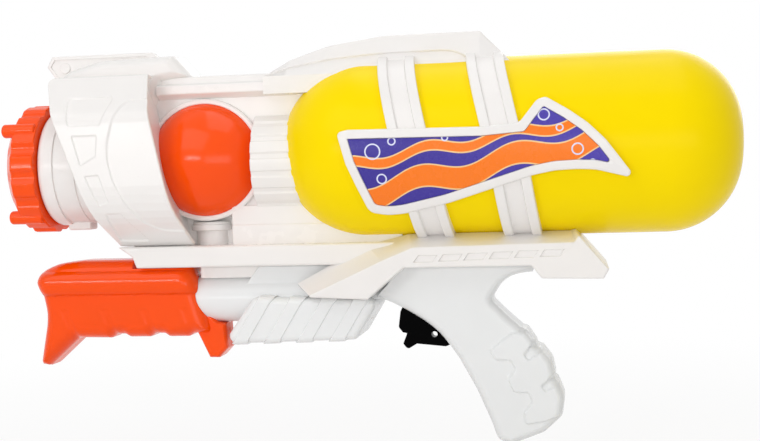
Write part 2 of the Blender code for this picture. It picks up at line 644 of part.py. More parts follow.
def tank_profile(grow):
    """Tank outline (x, radius), grown outwards by grow, with a pole at both ends."""
    nose = [(TANK_NOSE_X - grow + back, r) for back, r in dome(TANK_NOSE_LENGTH + grow, TANK_R + grow, 7)]
    corner = (TANK_TAIL_X - TANK_TAIL_RADIUS, TANK_R - TANK_TAIL_RADIUS)
    tail = arc(corner, TANK_TAIL_RADIUS + grow, 90, 0, 5)
    return nose + tail + [(TANK_TAIL_X + grow, 0.0)]


def tank_solid(name, grow, segments=TANK_SEGMENTS):
    return turned(name, tank_profile(grow), (0, 0, TANK_Z), "X", segments)


def tank_shell(name, inner, outer):
    """Round sleeve about the tank, between two heights over its wall."""
    ends = (TANK_NOSE_X, TANK_TAIL_X)
    sleeve = turned(name, [(x, TANK_R + outer) for x in ends], (0, 0, TANK_Z), "X", TANK_SEGMENTS)
    through = [(ends[0] - OVER, TANK_R + inner), (ends[1] + OVER, TANK_R + inner)]
    return cut(sleeve, turned("core", through, (0, 0, TANK_Z), "X", TANK_SEGMENTS))


def shroud_path(moved_in):
    """Outer side of the shroud as (depth, z), from its top edge to its bottom edge, moved in."""
    path = rounded(SHROUD_SECTION, closed=False)
    return offset(path, moved_in, closed=False) if moved_in else path


def moved_line(line, dx):
    return tuple((x + dx, z) for x, z in line)


def make_shroud(side, look):
    """Slanted cover with pressed-in panels."""
    outside = shroud_path(0.0)
    inside = shroud_path(SHROUD_WALL)
    name = "shroud_left" if side == LEFT else "shroud_right"
    cover = bar(name, outside + inside[::-1], side, SHROUD_FRONT, SHROUD_REAR)
    floor = shroud_path(SHROUD_RELIEF)
    middle = [(0.0, floor[-1][1]), (0.0, floor[0][1])]
    core_ends = moved_line(SHROUD_FRONT, -OVER), moved_line(SHROUD_REAR, 2 * OVER)
    for corners in (*SHROUD_WINDOWS, SHROUD_PANEL):
        panel = plate("panel", lifted(corners, BORE_Z), side, 0.0, SHROUD_HALF_WIDTH + OVER)
        cut(panel, bar("panel_floor", floor + middle, side, *core_ends))
        cut(cover, panel)
    return finish(cover, look)


def screw_wells(target, side, spots):
    """Screw holes in a half: a clearance hole and a deep well on the right, a pilot hole on the left."""
    hole_r = SCREW_R + FIT
    for x, z in spots:
        if side == RIGHT:
            hole = [(-OVER, hole_r), (SCREW_SEAT, hole_r)]
            well = [(SCREW_SEAT - FIT, WELL_R), (SCREW_SEAT + WELL_DEPTH, WELL_R)]
            cut(target, turned("hole", hole, (x, 0, z), "Y", 8), turned("well", well, (x, 0, z), "Y", 8))
        else:
            pilot = [(-SCREW_REACH - FIT, hole_r), (OVER, hole_r)]
            cut(target, turned("pilot", pilot, (x, 0, z), "Y", 8))
    return target


def make_screws(stem, spots, look, origin=None):
    top = SCREW_SEAT + SCREW_HEAD_LENGTH
    profile = [(-SCREW_REACH, SCREW_R), (SCREW_SEAT, SCREW_R), (SCREW_SEAT, SCREW_HEAD_R),
               (top, 0.7 * SCREW_HEAD_R)]
    for number, (x, z) in enumerate(spots, 1):
        finish(turned(f"{stem}_{number}", profile, (x, 0, z), "Y", 8), look, origin)


def ball_room():
    """Round room for the sphere, with flats that clear it."""
    radius = (BALL_R + FIT) / math.cos(math.pi / BALL_ROOM_SEGMENTS) ** 2
    steps = BALL_ROOM_SEGMENTS // 2
    angles = [math.pi * (k / steps - 0.5) for k in range(1, steps)]
    profile = [(radius * math.sin(a), radius * math.cos(a)) for a in angles]
    poles = [(-radius, 0.0)], [(radius, 0.0)]
    return turned("ball_room", poles[0] + profile + poles[1], (BALL_X, 0, BALL_Z), "Z", BALL_ROOM_SEGMENTS)


def neck_section():
    """Fluted half round of the tank neck as (depth, z)."""
    points = [(-OVER, BORE_Z - NECK_R)]
    pitch = math.pi / NECK_FLUTES
    for k in range(NECK_FLUTES):
        start = -math.pi / 2 + k * pitch
        for share, depth in ((0.02, 0), (0.32, 0), (0.60, 0), (0.70, 1), (0.92, 1)):
            radius = NECK_R - depth * NECK_FLUTE_DEPTH
            angle = start + share * pitch
            points.append((radius * math.cos(angle), BORE_Z + radius * math.sin(angle)))
    points.append((-OVER, BORE_Z + NECK_R))
    return points


def beam_rings(side):
    """Top beam over the tank: a flat crown, a sloping band and a lower band."""
    rings = []
    for depth, share in BEAM_LEVELS:
        crown = [(x, BEAM_BASE + max(0.0, z - BEAM_BASE) * share) for x, z in BEAM_TOP]
        outline = crown + [(BEAM_TOP[-1][0], BEAM_BURIED), (BEAM_TOP[0][0], BEAM_BURIED)]
        rings.append([(x, side * depth, TANK_TOP + z) for x, z in outline])
    return rings


def skirt_rings(side):
    """Lower beam: a crown that slopes down to its flat outer faces."""
    crown = [SKIRT_CROWN.get(i, point) for i, point in enumerate(SKIRT)]
    levels = ((-OVER, crown), (SKIRT_CROWN_HALF_WIDTH, crown), (SKIRT_HALF_WIDTH - SKIRT_EDGE, SKIRT),
              (SKIRT_HALF_WIDTH, offset(SKIRT, SKIRT_EDGE)))
    return [[(x, side * d, z) for x, z in outline] for d, outline in levels]


def strap_corners(line, width):
    """Parallelogram along a strap's middle line (x, z) to (x, z), counted from the tank's axis."""
    xa, za, xb, zb = line
    return [(xa - width / 2, TANK_Z + za), (xa + width / 2, TANK_Z + za), (xb + width / 2, TANK_Z + zb),
            (xb - width / 2, TANK_Z + zb)]


def band(side, corners, height):
    """Band of a given outline that stands a given height over the tank."""
    made = plate("band", corners, side, 0.0, TANK_R + 2 * OVER)
    return common(made, tank_shell("sleeve", STRAP_FIT, height))


def sunk_band(side, corners, rim, height, floor):
    """Band with a panel sunk into it, inside a rim."""
    panel = plate("panel", inset(corners, rim), side, 0.0, TANK_R + 4 * OVER)
    cut(panel, tank_shell("floor", -3 * OVER, floor))
    return cut(band(side, corners, height), panel)


def add_cradle(target, side):
    """Straps round the tank, and the label frame on the left."""
    lines = [(*upper[:2], *lower[2:]) for upper, lower in zip(UPPER_STRAPS, LOWER_STRAPS)]
    if side == LEFT:
        lines = [*UPPER_STRAPS, *LOWER_STRAPS]
    for line in lines:
        strap = band(side, strap_corners(line, STRAP_WIDTH), STRAP_HEIGHT)
        groove = strap_corners(line, STRAP_WIDTH - 2 * STRAP_RAIL)
        channel = plate("channel", groove, side, 0.0, TANK_R + 4 * OVER)
        join(target, cut(strap, cut(channel, tank_shell("floor", -3 * OVER, STRAP_FLOOR))))
    if side == LEFT:
        floor = BADGE_HEIGHT - BADGE_RECESS
        join(target, sunk_band(side, lifted(BADGE, TANK_Z), BADGE_RIM, BADGE_HEIGHT, floor))
    return target


def make_housing(side, look):
    """Half of the upper moulding."""
    name = "housing_left" if side == LEFT else "housing_right"
    path = shroud_path(SHROUD_WALL + FIT)
    foot = path[-1][0] - DRUM_FOOT_INSET
    section = path + [(foot, path[-1][1]), (foot, RAIL_BURIED_Z), (-OVER, RAIL_BURIED_Z), (-OVER, path[0][1])]
    front = moved_line(SHROUD_FRONT, DRUM_FRONT_INSET)
    rear = moved_line(SHROUD_REAR, -DRUM_REAR_INSET)
    body = bar(name, section, side, front, rear)
    web = rectangle(WEB_X, WEB_FLOOR_Z, WEB_TOP_Z)
    thin_web = rectangle(THIN_WEB_X, RAIL_BURIED_Z, THIN_WEB_TOP_Z)
    keel = rectangle(KEEL_X, PUMP_Z + PUMP_R + KEEL_CLEARANCE, RAIL_BURIED_Z)
    join(body, plate("hood", lifted(HOOD, BORE_Z), side, -OVER, HOOD_HALF_WIDTH, HOOD_EDGE, 3),
         make_fin(side),
         bar("top_rail", TOP_RAIL_SECTION, side, *map(square_end, TOP_RAIL_X)),
         plate("web", web, side, -OVER, WEB_HALF_WIDTH),
         plate("thin_web", thin_web, side, -OVER, THIN_WEB_HALF_WIDTH))
    lip_r = BALL_R + LIP_WIDTH
    lip = [(-side * OVER, lip_r), (side * (LIP_DEPTH - LIP_CHAMFER), lip_r),
           (side * LIP_DEPTH, lip_r - LIP_CHAMFER)]
    join(body, turned("lip", lip, (BALL_X, 0, BALL_Z), "Y", 32),
         bar("neck", neck_section(), side, *map(square_end, NECK_X)),
         plate("rail", RAIL, side, -OVER, RAIL_HALF_WIDTH, RAIL_EDGE),
         plate("keel", keel, side, -OVER, KEEL_HALF_WIDTH),
         bar("ledge", LEDGE_SECTION, side, *map(square_end, LEDGE_X)),
         loft("skirt", skirt_rings(side)), loft("beam", beam_rings(side)))
    add_slots(body, side)
    cut(body, tank_solid("tank_room", TANK_FIT), ball_room())
    add_cradle(body, side)
    cut_rooms(body, side)
    screw_wells(body, side, HOUSING_SCREWS)
    return finish(keep_half(body, side), look)


def make_fin(side):
    """Sight fin with a sunk panel and a round boss mark."""
    fin = plate("fin", lifted(FIN, BORE_Z), side, -OVER, FIN_HALF_WIDTH)
    floor = FIN_HALF_WIDTH - FIN_PANEL_DEPTH
    cut(fin, plate("fin_panel", lifted(FIN_PANEL, BORE_Z), side, floor, FIN_HALF_WIDTH + OVER))
    boss = [(0.0, FIN_BOSS_R), (side * FIN_HALF_WIDTH, FIN_BOSS_R)]
    return join(fin, turned("boss", boss, (FIN_BOSS[0], 0, BORE_Z + FIN_BOSS[1]), "Y", 16))


def add_slots(target, side):
    """Row of slanted recesses along the lower beam."""
    x, z = SKIRT_SLOT_START
    floor = SKIRT_HALF_WIDTH - SKIRT_SLOT_DEPTH
    wide, high, lean = SKIRT_SLOT_WIDTH, SKIRT_SLOT_HEIGHT, SKIRT_SLOT_LEAN
    for k in range(SKIRT_SLOTS):
        corners = [(x, z), (x + wide, z), (x + wide + lean, z + high), (x + lean, z + high)]
        cut(target, plate("slot", corners, side, floor, SKIRT_HALF_WIDTH + OVER))
        x += SKIRT_SLOT_PITCH
        z += SKIRT_SLOT_RISE
    return target


def cut_rooms(target, side):
    """Room in a housing half for the pieces that it holds."""
    duct = HOSE_DUCT_HALF_WIDTH
    riser = (MANIFOLD_PORT_X - 2 * HOSE_R, MANIFOLD_PORT_X + 6 * HOSE_R)
    cut(target, box("duct", (riser[0], -duct, HOSE_DUCT_FLOOR_Z), (VALVE_BACK_X, duct, HOSE_DUCT_ROOF_Z)),
        box("riser", (riser[0], -duct, HOSE_DUCT_FLOOR_Z), (riser[1], duct, BORE_Z - 0.9 * MANIFOLD_STEM_R)),
        box("drop", (HOSE_DROP_X, -duct, CORE_TOP_Z), (VALVE_BACK_X, duct, LANE_Z)))
    collar_room = [(DIAL_FRONT_X, COLLAR_R + FIT), (COLLAR_REAR_X + FIT, COLLAR_R + FIT)]
    stem_room = [(DIAL_FRONT_X, MANIFOLD_STEM_R + FIT), (MANIFOLD_REAR_X + FIT, MANIFOLD_STEM_R + FIT)]
    cut(target, turned("collar_room", collar_room, (0, 0, BORE_Z), "X", 28),
        turned("stem_room", stem_room, (0, 0, BORE_Z), "X", 24),
        collar_lug("lug_room", FIT), ball_neck_solid("ball_neck_room", FIT))
    bend = HOSE_R + 2 * FIT
    cut(target, box("bend", (OUTLET_X - 4 * HOSE_R, -bend, CORE_TOP_Z), (OUTLET_X, bend, LANE_Z)))
    cut_hose_holes(target)
    block_room = BLOCK_HALF_WIDTH + BLOCK_RIB_HEIGHT + FIT
    for k in range(BLOCK_RIBS):
        rib = lifted(BLOCK_RIB, PUMP_Z, BLOCK_RIB_X + k * BLOCK_RIB_PITCH)
        cut(target, plate("rib_room", inset(rib, -FIT), side, -OVER, block_room))
    cut(target, plate("grip_room", inset(GRIP, -FIT), side, -OVER, GRIP_HALF_WIDTH + FIT),
        plate("core_room", inset(CORE, -FIT), side, -OVER, CORE_HALF_WIDTH + FIT),
        plate("block_room", inset(lifted(BLOCK, PUMP_Z), -FIT), side, -OVER, block_room))
    return target


def cut_hose_holes(target):
    """Upright holes for the hoses over the pump's valve body."""
    hole = HOSE_R + 2 * FIT
    for x in (OUTLET_X, TANK_PORT_X):
        cut(target, turned("hose_hole", [(PUMP_Z, hole), (TANK_Z, hole)], (x, 0, 0), "Z", 12))


def make_frame(side, look):
    """Half of the lower moulding: pump block and pistol grip."""
    name = "frame_left" if side == LEFT else "frame_right"
    body = plate(name, lifted(BLOCK, PUMP_Z), side, -OVER, BLOCK_HALF_WIDTH, BLOCK_EDGE)
    rib_top = BLOCK_HALF_WIDTH + BLOCK_RIB_HEIGHT
    for k in range(BLOCK_RIBS):
        rib = lifted(BLOCK_RIB, PUMP_Z, BLOCK_RIB_X + k * BLOCK_RIB_PITCH)
        join(body, plate("rib", rib, side, -OVER, rib_top, BLOCK_RIB_EDGE))
    join(body, plate("core", CORE, side, -OVER, CORE_HALF_WIDTH, CORE_EDGE),
         plate("grip", GRIP, side, -OVER, GRIP_HALF_WIDTH, GRIP_EDGE, 3),
         plate("pad", GRIP_PAD, side, -OVER, GRIP_HALF_WIDTH + GRIP_PAD_HEIGHT, GRIP_PAD_EDGE))
    bore = PUMP_R + FIT
    cut(body, turned("bore", [(PUMP_FRONT_X, bore), (VALVE_REAR_X + FIT, bore)], (0, 0, PUMP_Z), "X", 24))
    cut_hose_holes(body)
    pivot = (TRIGGER_PIVOT[0], 0, TRIGGER_PIVOT[1])
    pin_reach, pin_room = TRIGGER_PIN_HALF_LENGTH + FIT, TRIGGER_PIN_R + FIT
    room, duct = VALVE_R + FIT, HOSE_DUCT_HALF_WIDTH
    cut(body, plate("slot", TRIGGER_SLOT, side, -OVER, TRIGGER_HALF_WIDTH + FIT),
        turned("pin_hole", [(-pin_reach, pin_room), (pin_reach, pin_room)], pivot, "Y", 12),
        box("valve_room", (VALVE_FRONT_X - FIT, -room, VALVE_Z - room), (VALVE_BACK_X + FIT, room, LANE_Z)),
        box("hose_room", (HOSE_DROP_X, -duct, VALVE_Z + room), (VALVE_BACK_X + FIT, duct, LANE_Z)))
    screw_wells(body, side, FRAME_SCREWS)
    return finish(keep_half(body, side), look)


def make_handle(side, look, origin):
    """Half of the sliding fore-grip, which runs on the pump cylinder."""
    name = "pump_handle_left" if side == LEFT else "pump_handle_right"
    body = plate(name, lifted(HANDLE, PUMP_Z), side, -OVER, HANDLE_HALF_WIDTH + OVER)
    ends = min(p[0] for p in HANDLE) - OVER, max(p[0] for p in HANDLE) + OVER
    common(body, bar("section", lifted(HANDLE_SECTION, PUMP_Z), side, *map(square_end, ends)))
    heights = PUMP_Z + min(p[1] for p in HANDLE) - OVER, PUMP_Z + max(p[1] for p in HANDLE) + OVER
    common(body, loft("plan", [[(x, side * d, z) for x, d in rounded(HANDLE_PLAN)] for z in heights]))
    floor = HANDLE_SIDE_WIDTH - HANDLE_GROOVE_DEPTH
    for x in HANDLE_GROOVE_X:
        cut(body, plate("groove", lifted(HANDLE_GROOVE, PUMP_Z, x), side, floor, HANDLE_HALF_WIDTH + OVER))
    centre = (0, 0, PUMP_Z)
    running = PUMP_R + FIT
    flange = ROD_FLANGE_R + FIT
    flange_room = [(ROD_FRONT_X - FIT, flange), (ROD_FRONT_X + ROD_FLANGE_LENGTH + FIT, flange)]
    cut(body, turned("bore", [(PUMP_FRONT_X - HANDLE_STOP_GAP, running), (0, running)], centre, "X", 24),
        turned("rod_hole", [(ROD_FRONT_X, ROD_R + FIT), (PUMP_FRONT_X, ROD_R + FIT)], centre, "X", 16),
        turned("flange_room", flange_room, centre, "X", 20))
    screw_wells(body, side, HANDLE_SCREWS)
    return finish(keep_half(body, side), look, origin)


def collar_lug(name, grow):
    """Key under the collar that keeps it from turning."""
    wide = COLLAR_LUG_HALF_WIDTH + grow
    return box(name, (COLLAR_LUG_X[0] - grow, -wide, BORE_Z - COLLAR_R - COLLAR_LUG_DROP - grow),
               (COLLAR_LUG_X[1] + grow, wide, BORE_Z - 0.8 * COLLAR_R))


def dial_layout():
    """X of the dial's web back, the seal's front and the manifold's front."""
    web = DIAL_FRONT_X + DIAL_WEB
    return web, web + FIT, web + 2 * FIT + SEAL_THICKNESS


def make_nozzle(looks):
    """Collar, manifold, seal, dial and the screw that the dial turns on."""
    web, seal_front, manifold_front = dial_layout()
    centre = (0, 0, BORE_Z)
    collar_front = DIAL_BACK_X + FIT
    bore = MANIFOLD_STEM_R + FIT
    low = COLLAR_R - COLLAR_STEP
    nose = arc((collar_front + COLLAR_ROUND, COLLAR_R - COLLAR_ROUND), COLLAR_ROUND, 180, 90, 3)
    profile = [(collar_front, bore), *nose, (COLLAR_STEP_X, COLLAR_R), (COLLAR_STEP_X, low),
               (COLLAR_REAR_X, low), (COLLAR_REAR_X, bore)]
    collar = turned("nozzle_collar", profile, centre, "X", 28, closed=True)
    finish(join(collar, collar_lug("lug", 0.0)), looks["white"])

    stem = [(manifold_front, 0.0), (manifold_front, MANIFOLD_FLANGE_R), (DIAL_BACK_X, MANIFOLD_FLANGE_R),
            (DIAL_BACK_X, MANIFOLD_STEM_R), (MANIFOLD_REAR_X, MANIFOLD_STEM_R), (MANIFOLD_REAR_X, 0.0)]
    manifold = turned("nozzle_manifold", stem, centre, "X", 24)
    stem_bottom = BORE_Z - MANIFOLD_STEM_R
    port = (MANIFOLD_PORT_X, 0, 0)
    spigot = [(stem_bottom - MANIFOLD_PORT_LENGTH, SPIGOT_R), (BORE_Z, SPIGOT_R)]
    join(manifold, turned("port", spigot, port, "Z", 12))
    outlet = (0, 0, BORE_Z - NOZZLE_CIRCLE_R)
    way = [(manifold_front - OVER, MANIFOLD_BORE_R), (MANIFOLD_PORT_X, MANIFOLD_BORE_R)]
    cut(manifold, turned("outlet", way, outlet, "X", 12),
        turned("drop", [(stem_bottom - 2 * MANIFOLD_PORT_LENGTH, SPIGOT_BORE_R), (outlet[2], SPIGOT_BORE_R)],
               port, "Z", 10),
        turned("pilot", [(manifold_front - OVER, SCREW_R + FIT), (DIAL_SCREW_END_X + FIT, SCREW_R + FIT)],
               centre, "X", 10))
    finish(manifold, looks["white"])

    seal_rear = seal_front + SEAL_THICKNESS
    seal_r = MANIFOLD_FLANGE_R - FIT
    seal = turned("dial_seal", [(seal_front, SCREW_R + FIT), (seal_front, seal_r), (seal_rear, seal_r),
                                (seal_rear, SCREW_R + FIT)], centre, "X", 24, closed=True)
    hole = [(seal_front - OVER, SEAL_HOLE_R), (seal_rear + OVER, SEAL_HOLE_R)]
    cut(seal, turned("hole", hole, outlet, "X", 12))
    finish(seal, looks["rubber"])

    make_dial(looks["orange"], web)
    head = DIAL_FRONT_X + DIAL_SCREW_SINK
    under = head + SCREW_HEAD_LENGTH
    screw = turned("dial_screw", [(head, 0.6 * SCREW_HEAD_R), (head + 0.4 * SCREW_HEAD_LENGTH, SCREW_HEAD_R),
                                  (under, SCREW_HEAD_R), (under, SCREW_R), (DIAL_SCREW_END_X, SCREW_R)],
                   centre, "X", 12)
    finish(screw, looks["steel"])


def make_dial(look, web):
    """Grip dial: a coned front, scalloped rim, finger nubs and a ring of spray holes."""
    centre = (0, 0, BORE_Z)
    inside = MANIFOLD_FLANGE_R + 2 * FIT
    profile = [(DIAL_FRONT_X, 0.0), (DIAL_FRONT_X, DIAL_FACE_R), (DIAL_FRONT_X + DIAL_CONE, DIAL_R),
               (DIAL_BACK_X, DIAL_R), (DIAL_BACK_X, inside), (web, inside), (web, 0.0)]
    dial = turned("nozzle_dial", profile, centre, "X", 40)
    quarter = 2 * math.pi / DIAL_NUBS
    scallop_at = DIAL_R + DIAL_SCALLOP_R - DIAL_TOOTH_DEPTH
    for k in range(DIAL_NUBS):
        for lean in (-DIAL_SCALLOP_LEAN, 0.0, DIAL_SCALLOP_LEAN):
            spot = on_dial(scallop_at, DIAL_NUB_ANGLE + (k + 0.5) * quarter + lean)
            ends = [(DIAL_FRONT_X - OVER, DIAL_SCALLOP_R), (DIAL_BACK_X + OVER, DIAL_SCALLOP_R)]
            cut(dial, turned("scallop", ends, spot, "X", 14))
    for k in range(DIAL_NUBS):
        tip = DIAL_FRONT_X - DIAL_NUB_REACH + DIAL_NUB_R
        spot = on_dial(DIAL_R - 0.5 * DIAL_NUB_R, DIAL_NUB_ANGLE + k * quarter)
        nub = arc((tip, 0.0), DIAL_NUB_R, 180, 90, 3)
        nub[0] = (tip - DIAL_NUB_R, 0.0)
        tail = DIAL_BACK_X - DIAL_SETBACK
        join(dial, turned("nub", nub + [(tail, DIAL_NUB_R), (tail, 0.0)], spot, "X", 12))
        boss = [(DIAL_FRONT_X - NOZZLE_BOSS_HEIGHT, NOZZLE_BOSS_R), (web - DIAL_SETBACK, NOZZLE_BOSS_R)]
        join(dial, turned("boss", boss, on_dial(NOZZLE_CIRCLE_R, -math.pi / 2 + k * quarter), "X", 12))
    for k, bore in enumerate(NOZZLE_BORES):
        spot = on_dial(NOZZLE_CIRCLE_R, -math.pi / 2 + k * quarter)
        cut(dial, turned("spray", [(DIAL_FRONT_X - OVER, bore), (web + OVER, bore)], spot, "X", 8))
    sink = DIAL_FRONT_X + DIAL_SCREW_SINK + SCREW_HEAD_LENGTH + FIT
    screw_hole = [(DIAL_FRONT_X - OVER, SCREW_R + FIT), (web + OVER, SCREW_R + FIT)]
    head_room = [(DIAL_FRONT_X - OVER, SCREW_HEAD_R + FIT), (sink, SCREW_HEAD_R + FIT)]
    cut(dial, turned("screw_hole", screw_hole, centre, "X", 12), turned("sink", head_room, centre, "X", 12))
    finish(dial, look, centre)


def on_dial(radius, angle):
    """Point on the dial's axis circle, with angles counted up from the left side."""
    return (0.0, -radius * math.cos(angle), BORE_Z + radius * math.sin(angle))


def ball_neck_solid(name, grow):
    """Flange, neck and port block under the sphere."""
    top = BALL_Z - BALL_R - FIT + grow
    low = top - BALL_FLANGE_HEIGHT - 2 * grow
    block_top = RAIL_TOP_Z + NECK_BLOCK_RISE + grow
    plug = BALL_PORT_R - FIT + grow
    neck = turned(name, [(RAIL_BURIED_Z - grow, BALL_NECK_R + grow), (low, BALL_NECK_R + grow),
                         (low, BALL_FLANGE_R + grow), (top, BALL_FLANGE_R + grow), (top, plug),
                         (BALL_Z - BALL_R + 2 * BALL_WALL, plug)], (BALL_X, 0, 0), "Z", 24)
    block = box("block", (NECK_BLOCK_X[0] - grow, NECK_BLOCK_Y[0] - grow, HOSE_DUCT_FLOOR_Z + FIT - grow),
                (NECK_BLOCK_X[1] + grow, NECK_BLOCK_Y[1] + grow, block_top))
    return join(neck, block)


def make_ball(looks):
    """Hollow pressure sphere and the neck that feeds and empties it."""
    inner = BALL_R - BALL_WALL
    outside = port_arc(BALL_R, BALL_SEGMENTS // 2)
    inside = port_arc(inner, BALL_SEGMENTS // 4)
    ball = turned("pressure_ball", inside[::-1] + outside, (BALL_X, 0, BALL_Z), "Z", BALL_SEGMENTS)
    finish(ball, looks["orange"])
    neck = ball_neck_solid("ball_neck", 0.0)
    for lane in (0.0, LANE):
        ends = [(BALL_X, SPIGOT_R), (NECK_BLOCK_X[1] + NECK_PORT_LENGTH, SPIGOT_R)]
        join(neck, turned("port", ends, (0, lane, LANE_Z), "X", 12))
    for lane in (0.0, LANE):
        ends = [(BALL_X, SPIGOT_BORE_R), (NECK_BLOCK_X[1] + 2 * NECK_PORT_LENGTH, SPIGOT_BORE_R)]
        cut(neck, turned("bore", ends, (0, lane, LANE_Z), "X", 10))
    link = [(-SPIGOT_BORE_R, NECK_LINK_R), (LANE + SPIGOT_BORE_R, NECK_LINK_R)]
    cut(neck, turned("riser", [(LANE_Z, BALL_RISER_R), (BALL_Z, BALL_RISER_R)], (BALL_X, 0, 0), "Z", 12),
        turned("link", link, (BALL_X, 0, LANE_Z), "Y", 10))
    finish(neck, looks["white"])


def port_arc(radius, steps):
    """Sphere profile (z, radius) from the port at its bottom to the pole at its top."""
    start = -math.acos(BALL_PORT_R / radius)
    angles = [start + (math.pi / 2 - start) * k / steps for k in range(steps)]
    return [(radius * math.sin(a), radius * math.cos(a)) for a in angles] + [(radius, 0.0)]


def make_tank(looks):
    """Hollow tank with a filler neck on the right and a hose port underneath, and its cap."""
    tank = tank_solid("water_tank", 0.0)
    neck_end = TANK_R + FILLER_NECK_LENGTH
    filler = (FILLER_X, 0, TANK_Z)
    port_top = tank_bottom(TANK_PORT_X)
    port = (TANK_PORT_X, 0, 0)
    spigot = [(port_top - TANK_PORT_LENGTH, SPIGOT_R), (port_top + TANK_PORT_ROOT, SPIGOT_R)]
    join(tank, turned("filler", [(0.9 * TANK_R, FILLER_NECK_R), (neck_end, FILLER_NECK_R)], filler, "Y", 20),
         turned("port", spigot, port, "Z", 12))
    port_bore = [(port_top - 2 * TANK_PORT_LENGTH, SPIGOT_BORE_R), (TANK_Z, SPIGOT_BORE_R)]
    cut(tank, tank_solid("hollow", -TANK_WALL, 20),
        turned("mouth", [(0.5 * TANK_R, FILLER_BORE_R), (neck_end + OVER, FILLER_BORE_R)], filler, "Y", 20),
        turned("port_bore", port_bore, port, "Z", 10))
    finish(tank, looks["yellow"])

    mouth = (FILLER_X, TANK_R, TANK_Z)
    gasket_low = neck_end + FIT
    gasket_high = gasket_low + GASKET_THICKNESS
    hole, rim = FILLER_BORE_R + FIT, FILLER_NECK_R - FIT
    ring = [(gasket_low, hole), (gasket_low, rim), (gasket_high, rim), (gasket_high, hole)]
    finish(turned("filler_gasket", ring, filler, "Y", 24, closed=True), looks["rubber"], mouth)
    roof = gasket_high + FIT
    top = roof + FILLER_CAP_WALL
    inside = FILLER_NECK_R + FIT
    outside = inside + FILLER_CAP_WALL
    hem = TANK_R + FILLER_CAP_LIFT
    shell = [(roof, 0.0), (roof, inside), (hem, inside), (hem, outside, FILLER_RIB_HEIGHT),
             (top - FILLER_CAP_CHAMFER, outside, FILLER_RIB_HEIGHT), (top, outside - FILLER_CAP_CHAMFER),
             (top, 0.0)]
    finish(turned("filler_cap", shell, filler, "Y", 2 * FILLER_CAP_RIBS), looks["orange"], mouth)


def tank_bottom(x):
    """Height of the tank's lowest line at a station along its nose."""
    share = (TANK_NOSE_X + TANK_NOSE_LENGTH - x) / TANK_NOSE_LENGTH
    return TANK_Z - TANK_R * math.sqrt(1 - share ** 2)


def make_label(look):
    """Printed label lying in the label frame."""
    floor = BADGE_HEIGHT - BADGE_RECESS + FIT
    sheet = tank_shell("side_label", floor, floor + LABEL_THICKNESS)
    outline = inset(lifted(BADGE, TANK_Z), BADGE_RIM + FIT)
    common(sheet, plate("outline", outline, LEFT, 0.0, TANK_R + 2 * OVER))
    finish(sheet, look)


def make_pump(looks, origin):
    """Pump cylinder with its end cap, rod, piston, seal and valve body."""
    centre = (0, 0, PUMP_Z)
    tube = turned("pump_cylinder", [(PUMP_FRONT_X, PUMP_BORE_R), (PUMP_FRONT_X, PUMP_R - PUMP_CHAMFER),
                                    (PUMP_FRONT_X + PUMP_CHAMFER, PUMP_R), (PUMP_REAR_X, PUMP_R),
                                    (PUMP_REAR_X, PUMP_BORE_R)], centre, "X", PUMP_SEGMENTS, closed=True)
    finish(tube, looks["cool_white"])
    plug_r = PUMP_BORE_R - FIT
    cap_end = PUMP_FRONT_X + END_CAP_LENGTH
    cap = turned("pump_end_cap", [(PUMP_FRONT_X, ROD_R + FIT), (PUMP_FRONT_X, plug_r), (cap_end, plug_r),
                                  (cap_end, ROD_R + FIT)], centre, "X", PUMP_SEGMENTS, closed=True)
    finish(cap, looks["white"])
    flange_end = ROD_FRONT_X + ROD_FLANGE_LENGTH
    rod = turned("pump_rod", [(ROD_FRONT_X, ROD_FLANGE_R), (flange_end, ROD_FLANGE_R), (flange_end, ROD_R),
                              (PISTON_FRONT_X - FIT, ROD_R)], centre, "X", 16)
    finish(rod, looks["white"], origin)
    groove = PISTON_FRONT_X + 0.5 * (PISTON_LENGTH - O_RING_WIDTH)
    groove_end = groove + O_RING_WIDTH
    floor = plug_r - O_RING_DEPTH
    piston = [(PISTON_FRONT_X, plug_r), (groove, plug_r), (groove, floor), (groove_end, floor),
              (groove_end, plug_r), (PISTON_FRONT_X + PISTON_LENGTH, plug_r)]
    finish(turned("pump_piston", piston, centre, "X", PUMP_SEGMENTS), looks["white"], origin)
    inner, outer = floor + FIT, PUMP_BORE_R - 0.5 * FIT
    edge = outer - O_RING_CHAMFER
    ring = [(groove + FIT, inner), (groove + FIT, edge), (groove + 2 * FIT, outer),
            (groove_end - 2 * FIT, outer), (groove_end - FIT, edge), (groove_end - FIT, inner)]
    finish(turned("piston_o_ring", ring, centre, "X", PUMP_SEGMENTS, closed=True), looks["rubber"], origin)
    make_pump_valve(looks, plug_r)


